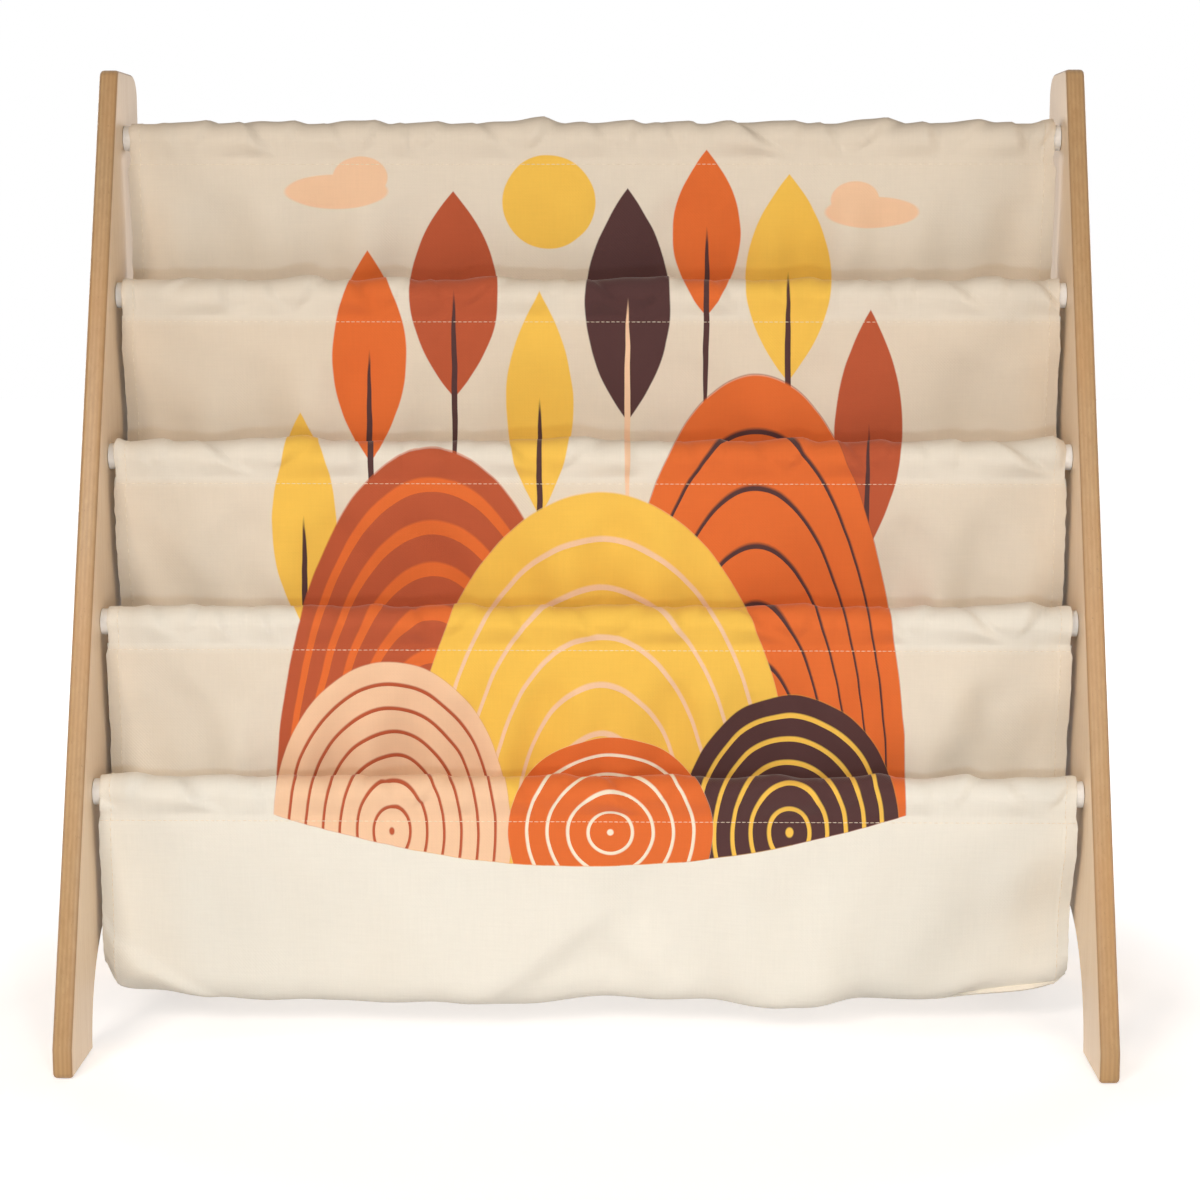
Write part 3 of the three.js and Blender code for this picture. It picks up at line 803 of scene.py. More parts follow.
def draw_tree(tree, picture, place, motif):
    """A leaf-shaped crown, and a thin trunk that runs up into it."""
    crown = leaf(tree, place, motif["middle"], motif["reach"])
    picture = paint(tree, picture, inside(tree, crown, 1, INK_EDGE / motif["reach"][0]), motif["ink"])
    crown_middle = motif["middle"][1]
    trunk_middle = (motif["middle"][0], (motif["foot"] + crown_middle) / 2)
    trunk = oval(tree, place, trunk_middle, (TRUNK_HALF_WIDTH, (crown_middle - motif["foot"]) / 2))
    ink = "peach" if motif["ink"] == "brown" else "brown"
    return paint(tree, picture, inside(tree, trunk, 1, TRUNK_EDGE), ink)


def wobbled_place(tree):
    """The place on the print in millimetres, moved a little so that outlines aren't perfect."""
    flat = add(tree, "ShaderNodeUVMap", uv_map="print")
    in_mm = add(tree, "ShaderNodeVectorMath", {0: flat, "Scale": 1 / MM}, operation="SCALE")
    wobble_place = add(tree, "ShaderNodeVectorMath", {0: in_mm, "Scale": 1 / WOBBLE_SIZE}, operation="SCALE")
    noise = add(tree, "ShaderNodeTexNoise", {"Vector": wobble_place, "Scale": 1.0, "Detail": 1.0}, out="Color")
    wobble = add(tree, "ShaderNodeVectorMath", {0: noise, 1: NOISE_MIDDLE}, operation="SUBTRACT")
    moved = add(tree, "ShaderNodeVectorMath", {0: wobble, "Scale": EDGE_WOBBLE}, operation="SCALE")
    loose = add(tree, "ShaderNodeVectorMath", {0: in_mm, 1: moved}, operation="ADD")
    return add(tree, "ShaderNodeVectorMath", {0: loose, 1: (1, 1, 0)}, operation="MULTIPLY")


def above_foot(tree, place):
    """1 above the picture's lower border, a shallow bowl, and 0 below it."""
    parts = add(tree, "ShaderNodeSeparateXYZ", {0: place}, out=None)
    side = add(tree, "ShaderNodeMath", {0: parts.outputs["X"], 1: FOOT_REACH}, operation="DIVIDE")
    bowl = add(tree, "ShaderNodeMath", {0: side, 1: side}, operation="MULTIPLY")
    rise = add(tree, "ShaderNodeMath", {0: bowl, 1: -FOOT_RISE, 2: parts.outputs["Y"]},
               operation="MULTIPLY_ADD")
    return add(tree, "ShaderNodeMapRange", {"Value": rise, "From Min": FOOT_LINE - INK_EDGE,
                                            "From Max": FOOT_LINE + INK_EDGE})


def draw_print(tree, cloth_colour):
    """The whole picture, from the sky to the nearest hill."""
    place = wobbled_place(tree)
    picture = cloth_colour
    for motif in OVALS:
        distance = oval(tree, place, motif["middle"], motif["reach"])
        picture = paint(tree, picture, inside(tree, distance, 1, INK_EDGE / motif["reach"][1]), motif["ink"])
    for motif in TREES:
        picture = draw_tree(tree, picture, place, motif)
    shown = above_foot(tree, place)
    for hill in HILLS:
        picture = draw_hill(tree, picture, place, shown, hill)
    return picture


print("print:", len(HILLS), "hills,", len(TREES), "trees,", len(OVALS), "ovals")

# %% [markdown]
# ## Cotton canvas
# Undyed cotton duck is a plain weave of thick, slightly uneven threads. It looks matt and warm, with a
# soft sheen at grazing angles, and its threads show as fine lines of slightly different cream. Real
# threads lie 0.5 mm apart, which is finer than a pixel here, so they are drawn 1.0 mm apart. The weave
# follows the cloth's own flat map, so it bends with the folds, and it shades the ink too.

# %% Canvas material
THREAD_SPACING = 1.0 * MM
SLUB_LENGTH = 22 * MM
MOTTLE_SIZE = 70 * MM
WEAVE_RELIEF = 0.18 * MM
# Heights between which the painted shade of the upper shelf fades in.
TOP_SHADE_FADE = (90 * MM, 560 * MM)
THREAD_SUMS = (0.7, 1.3)
THREAD_SHADES = (0.982, 1.014)
# Painted shade inside the pockets: distances down from a seam between which the warmer, darker ground of the
# back walls fades in, and out again.
POCKET_SHADE_ROWS = (0, 6 * MM, 190 * MM, 235 * MM)
# Heights between which this painted shade comes in, from the highest pocket down.
POCKET_SHADE_TIERS = (500 * MM, 430 * MM)
COTTON = {"plain": linear("#EEEBE1"), "mottled": linear("#E9E5DA"), "top_shade": linear("#E4D8C6"),
          "pocket_shade": linear("#FAF4EE")}


def make_canvas():
    """Printed cotton: ground with painted shade, ink and weave multiplied together, over a woven relief."""
    material, tree, shader = new_material("cotton_canvas_printed", Roughness=0.9, Sheen_Weight=0.18,
                                          Sheen_Roughness=0.45)
    flat = add(tree, "ShaderNodeUVMap", uv_map="cloth")
    across = add(tree, "ShaderNodeMapping", {"Vector": flat,
                                             "Scale": (1 / SLUB_LENGTH, 1 / THREAD_SPACING, 1)})
    along = add(tree, "ShaderNodeMapping", {"Vector": flat, "Scale": (1 / THREAD_SPACING, 1 / SLUB_LENGTH, 1)})
    weft = add(tree, "ShaderNodeTexNoise", {"Vector": across, "Scale": 1.0, "Detail": 2.0})
    warp = add(tree, "ShaderNodeTexNoise", {"Vector": along, "Scale": 1.0, "Detail": 2.0})
    threads = add(tree, "ShaderNodeMath", {0: weft, 1: warp}, operation="ADD")
    mottle = add(tree, "ShaderNodeTexNoise", {"Vector": flat, "Scale": 1 / MOTTLE_SIZE, "Detail": 3.0})
    plain = add(tree, "ShaderNodeMix", {0: mottle, 6: COTTON["plain"], 7: COTTON["mottled"]}, out=2,
                data_type="RGBA")
    height = add(tree, "ShaderNodeSeparateXYZ", {0: add(tree, "ShaderNodeUVMap", uv_map="print")}, out="Y")
    # The ground carries painted shade: darker and warmer towards the top of the shelf and on the pockets' back
    # walls.
    ground = paint_pocket_shade(tree, flat, height, paint_top_shade(tree, height, plain))
    inked = draw_print(tree, ground)
    (thin, thick), (dark, light) = THREAD_SUMS, THREAD_SHADES
    shade = add(tree, "ShaderNodeMapRange", {"Value": threads, "From Min": thin, "From Max": thick,
                                             "To Min": dark, "To Max": light})
    grey = add(tree, "ShaderNodeCombineColor", {0: shade, 1: shade, 2: shade})
    woven = add(tree, "ShaderNodeMix", {0: 1.0, 6: inked, 7: grey}, out=2, data_type="RGBA",
                blend_type="MULTIPLY")
    tree.links.new(woven, shader.inputs["Base Color"])
    relief = weave_relief(tree, flat, threads)
    bump = add(tree, "ShaderNodeBump", {"Height": relief, "Strength": 0.22, "Distance": WEAVE_RELIEF})
    tree.links.new(bump, shader.inputs["Normal"])
    return material


def paint_top_shade(tree, height, plain):
    """Painted shade: the cloth grows darker and warmer towards the top of the shelf, and stays bare cream at
    its foot.
    """
    low, high = TOP_SHADE_FADE
    share = add(tree, "ShaderNodeMapRange", {"Value": height, "From Min": low, "From Max": high})
    return add(tree, "ShaderNodeMix", {0: share, 6: plain, 7: COTTON["top_shade"]}, out=2, data_type="RGBA")


def paint_pocket_shade(tree, flat, height, ground):
    """Painted shade: a slightly warmer, darker ground on the back walls of the pockets, where they lie in
    shade.
    """
    below = add(tree, "ShaderNodeSeparateXYZ", {0: flat}, out="Y")
    seam, full, fade, end = POCKET_SHADE_ROWS
    on_wall = add(tree, "ShaderNodeMapRange", {"Value": below, "From Min": seam, "From Max": full})
    not_front = add(tree, "ShaderNodeMapRange", {"Value": below, "From Min": end, "From Max": fade})
    high, low = POCKET_SHADE_TIERS
    tiers = add(tree, "ShaderNodeMapRange", {"Value": height, "From Min": high, "From Max": low})
    share = both(tree, both(tree, on_wall, not_front), tiers)
    return add(tree, "ShaderNodeMix", {0: share, 6: ground, 7: COTTON["pocket_shade"]}, out=2, data_type="RGBA",
               blend_type="MULTIPLY")


def weave_relief(tree, flat, threads):
    """The height of a plain weave: crossing threads rise and dip in turn."""
    parts = add(tree, "ShaderNodeSeparateXYZ", {0: flat}, out=None)
    waves = []
    for axis in ("X", "Y"):
        turns = add(tree, "ShaderNodeMath", {0: parts.outputs[axis], 1: math.pi / THREAD_SPACING},
                    operation="MULTIPLY")
        waves.append(add(tree, "ShaderNodeMath", {0: turns}, operation="SINE"))
    crossing = both(tree, *waves)
    return add(tree, "ShaderNodeMath", {0: crossing, 1: threads}, operation="ADD")


canvas = make_canvas()
print("material:", canvas.name, "with", len(canvas.node_tree.nodes), "nodes")

# %% [markdown]
# ## How a sling panel runs
# One panel is one strip of canvas as wide as the shelf. Its top is sewn into a sleeve round a tube. From
# there it hangs as the pocket's back wall, turns round at the bottom, and rises as the front wall to the
# next tube. The lowest panel ends in a sleeve of its own. So the strip is described by its path, row by
# row, and every row is then drawn out across the shelf. The path is the middle of the cloth's thickness.

# %% The path of a panel
CLOTH = 0.8 * MM
HEM = 8 * MM
HEM_EXTRA = 0.5 * MM
SLEEVE_RADIUS = 9.1 * MM
STITCH_DROP = 13 * MM
LAP = 8 * MM
SEAM_OFFSET = 0.5 * MM
SEAM_FORWARD = 6.0 * MM
SEAM_EASE = 70 * MM
POCKET_DEPTH = 122 * MM
SEWN_BEHIND = 2.1 * MM
ROW_STEP = {"lap": 2.0 * MM, "sleeve": 1.3 * MM, "wall": 3.4 * MM, "bend": 2.4 * MM, "front": 3.4 * MM}


def smoothstep(value, low, high):
    """0 below one value, 1 above the other, and a soft ramp between them."""
    share = np.clip((value - low) / (high - low), 0, 1)
    return share * share * (3 - 2 * share)


def straight(start, end, step):
    """Points about a step apart, from the start up to the last one before the end."""
    count = max(1, round(math.dist(start, end) / step))
    return [tuple(a + (b - a) * at / count for a, b in zip(start, end)) for at in range(count)]


def sleeve_run(axis, seam_z):
    """Up the back of a sleeve, over the tube and down its front to the stitch line."""
    seam_y = axis.y - SEAM_FORWARD
    below = math.atan2(seam_z - axis.z, seam_y - axis.y)
    turn = math.acos(SLEEVE_RADIUS / math.hypot(seam_z - axis.z, seam_y - axis.y))
    count = round((math.tau - 2 * turn) * SLEEVE_RADIUS / ROW_STEP["sleeve"])
    angles = [below + turn + (math.tau - 2 * turn) * at / count for at in range(count + 1)]
    curve = [(axis.y + SLEEVE_RADIUS * math.cos(a), axis.z + SLEEVE_RADIUS * math.sin(a)) for a in angles]
    up = straight((seam_y + 2 * SEAM_OFFSET, seam_z), curve[0], ROW_STEP["sleeve"])
    down = straight(curve[-1], (seam_y, seam_z), ROW_STEP["sleeve"])
    return up + curve[:-1] + down


def eased(rows, seam_z):
    """Rows of a wall, drawn forward towards its seam, which hangs from the front of the tube."""
    drawn = SEAM_FORWARD - SEAM_OFFSET
    return [(y - drawn * (1 - smoothstep(seam_z - z, 0, SEAM_EASE)), z) for y, z in rows]


def panel_path(number):
    """The rows of a panel as parts, each a list of (y, z), from the lap behind its sleeve onwards."""
    back, front = tube_axes[number - 1], tube_axes[number]
    lowest = number == PANELS
    seam, front_seam = back.z - STITCH_DROP, front.z - STITCH_DROP
    wall_y = back.y - SEAM_OFFSET
    front_y = front.y - SEAM_OFFSET if lowest else front.y + SEWN_BEHIND
    radius = (wall_y - front_y) / 2
    bend_z = front.z - POCKET_DEPTH + radius
    count = round(math.pi * radius / ROW_STEP["bend"])
    turns = [-math.pi * at / count for at in range(count)]
    centre = (wall_y + front_y) / 2
    lap_y = back.y - SEAM_FORWARD + 2 * SEAM_OFFSET
    parts = {
        "lap": straight((lap_y, seam - LAP), (lap_y, seam), ROW_STEP["lap"]),
        "sleeve": sleeve_run(back, seam),
        "wall": eased(straight((wall_y, seam), (wall_y, bend_z), ROW_STEP["wall"]), seam),
        "bend": [(centre + radius * math.cos(a), bend_z + radius * math.sin(a)) for a in turns],
        "front": straight((front_y, bend_z), (front_y, front_seam), ROW_STEP["front"]),
    }
    if lowest:
        run = sleeve_run(front, front_seam)
        parts["front_sleeve"] = [(front.y - SEAM_FORWARD, front_seam)] + run[:0:-1]
        lap_y = front.y - SEAM_FORWARD + 2 * SEAM_OFFSET
        lap_end = (lap_y, front_seam - LAP)
        parts["front_lap"] = straight((lap_y, front_seam), lap_end, ROW_STEP["lap"]) + [lap_end]
    else:
        parts["front"].append((front_y, front_seam))
    parts["front"] = eased(parts["front"], front_seam)
    return parts


for number in range(1, PANELS + 1):
    print("panel", number, "rows:", {name: len(rows) for name, rows in panel_path(number).items()})

# %% [markdown]
# ## How the cloth waves, sags and creases
# Hanging canvas is never flat. Its walls lean out and in by a few millimetres in wide folds. The pocket's
# bottom sags between the stiffer side hems, and its corners curl up. Thread tension puckers the stitch
# lines. The loose sleeves drag into flat facets between slanting creases. On the lowest wall the larger
# folds are placed one by one. A simulation could make folds too, but would move the sewn details out of
# place. So each effect is a small function of the place on the cloth, and all of them add up.

# %% Folds and creases
FOLD_DEPTH = 1.8 * MM
FOLD_RAMP = 60 * MM
FOLD_SPACING = 236 * MM
RIPPLE_DEPTH = 0.9 * MM
RIPPLE_SPACING = 131 * MM
FOLD_TURN_PER_TUBE = 1.9
POCKET_SAG = 12 * MM
HEM_HOLD = 11 * MM
CORNER_RISE_LENGTH = 30 * MM
CORNER_LIFT = {"left": 12 * MM, "right": 4 * MM}
CORNER_REACH = 4.5 * MM
BOTTOM_WAVE = 1.3 * MM
PUCKER_DEPTH = 0.22 * MM
PUCKER_REACH = 6 * MM
PINCH_SPACING = 46 * MM
PINCH_GAPS = (0.45, 1.55)
PINCH_TOPS = (0.1, 0.9)
FIRST_PINCH = 1.5 * PINCH_SPACING
CREASE_DEPTH = 1.5 * MM
VALLEY_POWER = 1.5
FACET_SWELL = 6.0 * MM
SWELL_SHARES = (0.4, 1)
CREST_PLACE = 0.82
CREASE_CONVERGENCE = 0.85
CREASED_SHARE = 0.5
FACET_START = (0, 0.42)
FACET_FADE = 0.75
FACET_FADE_ROWS = (0.6, 1.1)
FACET_END = (1.2, 1.9)
TUBE_CLEARANCE = 0.08 * MM
BROAD_DEPTH = 2.6 * MM
DRAPE_DEPTH = 1.9 * MM
LOWEST_DRAPE_DEPTH = 0.9 * MM
DRAPE_FULL_AT = 0.4
EDGE_WAVER = 0.5 * MM
EDGE_MEAN = 0.6
EDGE_REACH = 20 * MM
SLEEVE_DRAWN_IN = 1.5 * MM
SLEEVE_SLACK = 0.35 * MM
SEEDS = {"hang": 40, "bottom": 60, "edge": 70, "sleeve": 100}
LOWEST_WALL = PANELS

# Sets of waves: how many, and the lengths in metres that they may have across the cloth and along it.
BROAD_WAVES = (6, (0.13, 0.34), (0.12, 0.4))
DRAPE_WAVES = (9, (0.035, 0.10), (0.06, 0.4))
BOTTOM_WAVES = (5, (0.08, 0.26), (1, 2))
PUCKER_WAVES = (7, (0.006, 0.017), (1, 2))
EDGE_WAVES = (6, (0.008, 0.03), (1, 2))
SLEEVE_WAVES = (8, (0.022, 0.07), (0.05, 0.2))

# Folds of the lowest wall. Places are across from the shelf's middle and up from the floor, every line runs
# down, depth is towards the back, and the widths are those on the line's left and right.
LOW_FOLD_ENDS = ((-0.25, 0.35), (0.9, 1.3))
LOW_FOLDS_MM = [
    {"from": (14, 92), "to": (-84, 30), "depth": -7.4, "widths": (28, 10)},
    {"from": (2, 82), "to": (42, 56), "depth": -4.8, "widths": (10, 18)},
    {"from": (40, 70), "to": (84, 30), "depth": 3.0, "widths": (14, 14)},
    {"from": (124, 36), "to": (88, 20), "depth": -4.0, "widths": (9, 3)},
    {"from": (240, 42), "to": (180, 20), "depth": -4.4, "widths": (11, 3)},
    {"from": (150, 30), "to": (108, 16), "depth": -3.4, "widths": (8, 3)},
    {"from": (-290, 64), "to": (-228, 30), "depth": -4.2, "widths": (10, 3)},
    {"from": (-128, 30), "to": (-70, 20), "depth": -3.4, "widths": (9, 3)},
    {"from": (-286, 40), "to": (-240, 26), "depth": 2.6, "widths": (5, 5)},
    {"from": (-240, 27), "to": (-60, 22), "depth": -1.6, "widths": (5, 3)},
    {"from": (-250, 150), "to": (-200, 96), "depth": -2.4, "widths": (16, 10)},
    {"from": (-150, 130), "to": (-96, 60), "depth": -2.2, "widths": (24, 14)},
    {"from": (150, 132), "to": (66, 84), "depth": -2.0, "widths": (20, 12)},
]
RIGHT_PLANE_MM = {"from": (284, 138), "to": (163, 46), "slope": 0.38, "round": 6, "most": 15}


def random_waves(draw, x, z, count, lengths_x, lengths_z):
    """A sum of sine waves with random directions and lengths, about 1 high."""
    total = np.zeros(np.broadcast(x, z).shape)
    for _ in range(count):
        turn_x = math.tau / draw.uniform(*lengths_x) * draw.choice([-1, 1])
        turn_z = math.tau / draw.uniform(*lengths_z)
        total = total + np.sin(turn_x * x + turn_z * z + draw.uniform(0, math.tau))
    return total / math.sqrt(count / 2)


def line_places(x, z, start, end):
    """How far along a line that runs down each place lies, from 0 to 1, and how many mm to its right."""
    run = np.array(end, float) - np.array(start, float)
    length = np.linalg.norm(run)
    from_x, from_z = x / MM - start[0], z / MM - start[1]
    return (from_x * run[0] + from_z * run[1]) / length ** 2, (from_z * run[0] - from_x * run[1]) / length


def low_folds(x, z):
    """The lowest wall's own folds: soft ridges and hollows, and a plane at the right that turns away."""
    total = np.zeros(np.broadcast(x, z).shape)
    first, last = LOW_FOLD_ENDS
    for fold in LOW_FOLDS_MM:
        along, right = line_places(x, z, fold["from"], fold["to"])
        ends = smoothstep(along, *first) * (1 - smoothstep(along, *last))
        width = np.where(right < 0, *fold["widths"])
        total += fold["depth"] * MM * ends * np.exp(-(right / width) ** 2)
    plane = RIGHT_PLANE_MM
    along, right = line_places(x, z, plane["from"], plane["to"])
    beyond = np.logaddexp(0, right / plane["round"]) * plane["round"] * plane["slope"]
    return total + plane["most"] * np.tanh(beyond / plane["most"]) * MM


def hanging_wave(x, z, tube):
    """How far the cloth that hangs from one tube waves towards the back."""
    axis = tube_axes[tube]
    growth = smoothstep(axis.z - STITCH_DROP - LAP - z, 0, FOLD_RAMP)
    phase = tube * FOLD_TURN_PER_TUBE
    fold = FOLD_DEPTH * np.sin(math.tau * x / FOLD_SPACING + phase)
    ripple = RIPPLE_DEPTH * np.sin(math.tau * x / RIPPLE_SPACING - phase)
    draw = np.random.default_rng(SEEDS["hang"] + tube)
    broad = random_waves(draw, x, z, *BROAD_WAVES)
    drape = random_waves(draw, x, z, *DRAPE_WAVES)
    depth = LOWEST_DRAPE_DEPTH if tube == LOWEST_WALL else DRAPE_DEPTH
    wave = growth * (fold + ripple + BROAD_DEPTH * broad)
    wave = wave + smoothstep(growth, 0, DRAPE_FULL_AT) * depth * drape
    return wave + growth * low_folds(x, z) if tube == LOWEST_WALL else wave


def sag(x):
    """How far a pocket's bottom sags. Its ends are held up by the hems, and curl up at the corners."""
    from_end = CLOTH_HALF_WIDTH - np.abs(x)
    hold = HEM_HOLD * np.exp(-from_end / CORNER_RISE_LENGTH)
    lift = np.where(x < 0, CORNER_LIFT["left"], CORNER_LIFT["right"])
    wave = BOTTOM_WAVE * random_waves(np.random.default_rng(SEEDS["bottom"]), x, 0 * x, *BOTTOM_WAVES)
    return POCKET_SAG - hold - lift * np.exp(-(from_end / CORNER_REACH) ** 2) + wave * (1 - hold / HEM_HOLD)


def facets(draw, x, rise, height):
    """The flat facets of a loose sleeve, between creases that zigzag from its stitch line to its top."""
    count = round(2 * CLOTH_HALF_WIDTH / PINCH_SPACING) + 2
    gaps = PINCH_SPACING * draw.uniform(*PINCH_GAPS, count)
    pinches = np.cumsum(gaps) - CLOTH_HALF_WIDTH - FIRST_PINCH
    tops = pinches[:-1] + np.diff(pinches) * draw.uniform(*PINCH_TOPS, count - 1)
    valleys = -CREASE_DEPTH * draw.uniform(0, 1, (2, count - 1)) ** VALLEY_POWER
    swells = FACET_SWELL * draw.uniform(*SWELL_SHARES, (2, count - 1))
    share = np.clip(rise / height, 0, 2)
    fading = (1 - FACET_FADE * smoothstep(share, *FACET_FADE_ROWS)) * (1 - smoothstep(share, *FACET_END))
    strength = smoothstep(share, *FACET_START) * fading
    total = np.zeros(np.broadcast(x, rise).shape)
    for row in range(len(total)):
        part = CREASE_CONVERGENCE * min(float(share[row, 0]), 1)
        left = pinches[:-1] + (tops - pinches[:-1]) * part
        right = pinches[1:] + (tops - pinches[1:]) * part
        after = np.append(left[1:], right[-1] + PINCH_SPACING * part)
        first, second = right - left, after - right
        peaks = left + CREST_PLACE * first, right + CREST_PLACE * second
        places = np.stack([left, peaks[0], right, peaks[1]], axis=1).ravel()
        crests = swells * np.stack([first, second]) / PINCH_SPACING
        heights = np.stack([valleys[0], crests[0], valleys[1], crests[1]], axis=1).ravel()
        total[row] = np.interp(x[0], places, heights) * strength[row, 0]
    return total


def pucker(draw, x, away):
    """Small gathers beside a row of stitches, fading within a few millimetres."""
    gather = random_waves(draw, x, 0 * x, *PUCKER_WAVES)
    return PUCKER_DEPTH * gather * np.exp(-np.abs(away) / PUCKER_REACH)


# %% [markdown]
# ## Building a panel
# The grid of rows and columns gives the middle of the cloth. Two skins, one on each side of it, and four
# rims make it a closed piece of real thickness, thicker along the folded hems. Only faces that look at
# the viewer carry the print: the inside of a pocket's back wall, and the outside of the lowest front
# wall. Each face has its own corner in the print's map, so the plain side stays plain. The walls lie one
# behind the other, so the picture is laid out from one point in front of the shelf, and runs on from wall
# to wall without a step there.

# %% Panels
COLUMN_STEP = 2.7 * MM
HEM_STEPS_MM = (0, 0.4, 1.4, 3.2, 5.2, 7.0, 7.8, 8.3, 9.2)
HEM_RISE = (-0.5 * MM, 0.3 * MM)
PICTURE_POINT = (0.029, -1.5281, 0.4852)
PRINT_BLEED = 30 * MM
OFF_PRINT = -1.0
CLOTH_SMOOTH_ANGLE = math.radians(60)


def column_places():
    """Places across the shelf: close together at the hems, even between them."""
    edge = np.array(HEM_STEPS_MM) * MM
    inner = CLOTH_HALF_WIDTH - edge[-1]
    count = round(2 * inner / COLUMN_STEP)
    between = np.linspace(-inner, inner, count + 1)[1:-1]
    return np.concatenate([edge - CLOTH_HALF_WIDTH, between, CLOTH_HALF_WIDTH - edge[::-1]])


def path_arrays(number):
    """The panel's rows as arrays: y, z, the flat length so far, and where each part starts."""
    parts = panel_path(number)
    rows = np.array([point for part in parts.values() for point in part])
    starts, at = {}, 0
    for name, part in parts.items():
        starts[name] = at
        at += len(part)
    steps = np.linalg.norm(np.diff(rows, axis=0), axis=1)
    return rows, np.concatenate([[0], np.cumsum(steps)]), starts


def shape_panel(number):
    """The middle of the cloth as a grid of points, with its flat lengths and part starts."""
    rows, flat, starts = path_arrays(number)
    back, front = tube_axes[number - 1], tube_axes[number]
    lowest = number == PANELS
    x = column_places()[None, :]
    y, z = rows[:, :1], rows[:, 1:]
    reach = SLEEVE_RADIUS + CLOTH
    backness = smoothstep(y, front.y + reach, back.y - reach)
    wave = (1 - backness) * hanging_wave(x, z, number) + backness * hanging_wave(x, z, number - 1)
    share = 1 - smoothstep(z, front.z - POCKET_DEPTH, front.z - STITCH_DROP - LAP)
    grid_y = y + wave
    grid_z = z - share * sag(x)
    lift = surface_lift(number, x, flat, starts)
    tangent = np.gradient(rows, axis=0)
    tangent /= np.linalg.norm(tangent, axis=1)[:, None]
    grid_y = grid_y + tangent[:, 1:] * lift
    grid_z = grid_z - tangent[:, :1] * lift
    grid_y, grid_z = clear_of_tube(grid_y, grid_z, back)
    if lowest:
        grid_y, grid_z = clear_of_tube(grid_y, grid_z, front)
    draw = np.random.default_rng(SEEDS["edge"] + number)
    waver = random_waves(draw, flat[:, None], 0 * x, *EDGE_WAVES)
    edge = smoothstep(np.abs(x), CLOTH_HALF_WIDTH - EDGE_REACH, CLOTH_HALF_WIDTH) * np.sign(x)
    seam = flat[starts["wall"]]
    drawn = SLEEVE_DRAWN_IN * (1 - smoothstep(flat[:, None], seam, seam + HEM))
    if lowest:
        seam = flat[starts["front_sleeve"]]
        drawn = drawn + SLEEVE_DRAWN_IN * smoothstep(flat[:, None], seam - HEM, seam)
    grid_x = x - edge * (EDGE_WAVER * (EDGE_MEAN + (1 - EDGE_MEAN) * waver) + drawn)
    return np.stack([np.broadcast_to(grid_x, grid_y.shape), grid_y, grid_z], axis=2), flat, starts


def clear_of_tube(y, z, axis):
    """Pushes out whatever part of a sleeve would lie inside its tube."""
    least = TUBE_RADIUS + (CLOTH + HEM_EXTRA) / 2 + TUBE_CLEARANCE
    distance = np.hypot(y - axis.y, z - axis.z)
    outward = np.maximum(1, least / distance)
    return axis.y + (y - axis.y) * outward, axis.z + (z - axis.z) * outward


def sleeve_lift(draw, x, rise, length):
    """One sleeve's facets, slack and gathers, by the way up from its stitch line."""
    on_sleeve = (rise > 0) & (rise < length)
    arch = np.sin(np.pi * np.clip(rise / length, 0, 1))
    lift = np.where(on_sleeve, facets(draw, x, rise, length * CREASED_SHARE), 0)
    lift += np.where(on_sleeve, SLEEVE_SLACK * arch * random_waves(draw, x, rise, *SLEEVE_WAVES), 0)
    return lift + pucker(draw, x, rise)


def surface_lift(number, x, flat, starts):
    """How far the cloth rises out of its front side, on the sleeves and beside their stitch lines."""
    draw = np.random.default_rng(SEEDS["sleeve"] + number)
    seam = flat[starts["wall"]]
    lift = sleeve_lift(draw, x, seam - flat[:, None], seam - flat[starts["sleeve"]])
    if "front_sleeve" in starts:
        seam = flat[starts["front_sleeve"]]
        lift -= sleeve_lift(draw, x, flat[:, None] - seam, flat[starts["front_lap"]] - seam)
    return lift


def skins(grid):
    """The cloth's two sides, half its thickness from the middle, thicker along the side hems."""
    down = np.gradient(grid, axis=0)
    across = np.gradient(grid, axis=1)
    normal = np.cross(down, across)
    normal /= np.linalg.norm(normal, axis=2)[:, :, None]
    hem_edge = CLOTH_HALF_WIDTH - HEM
    hem = smoothstep(np.abs(column_places()), hem_edge + HEM_RISE[0], hem_edge + HEM_RISE[1])
    half = (CLOTH + HEM_EXTRA * hem)[None, :, None] / 2
    return grid + normal * half, grid - normal * half


def print_places(number, flat, starts, rows):
    """Where each row of either side lies on the picture, as its scale and height, and which rows show it."""
    index = np.arange(len(flat))
    scale = (tube_axes[-1].y - PICTURE_POINT[1]) / (rows[:, 0] - PICTURE_POINT[1])
    seen = PICTURE_POINT[2] + (rows[:, 1] - PICTURE_POINT[2]) * scale
    heights = np.stack([seen, seen])
    top = starts["sleeve"] + int(np.argmax(rows[starts["sleeve"]:starts["wall"], 1]))
    behind = index < top
    heights[0, behind] = seen[top] + flat[top] - flat[behind]
    shown = np.zeros((2, len(flat)), bool)
    low = tube_axes[number].z - PRINT_BLEED
    shown[0] = (index >= starts["sleeve"]) & (index < starts["bend"]) & (rows[:, 1] > low)
    if number == PANELS:
        top = starts["front_sleeve"] + int(np.argmax(rows[starts["front_sleeve"]:starts["front_lap"], 1]))
        behind = index > top
        heights[1, behind] = seen[top] + flat[behind] - flat[top]
        shown[1] = (index >= starts["front"]) & (index < starts["front_lap"])
    return scale, heights, shown


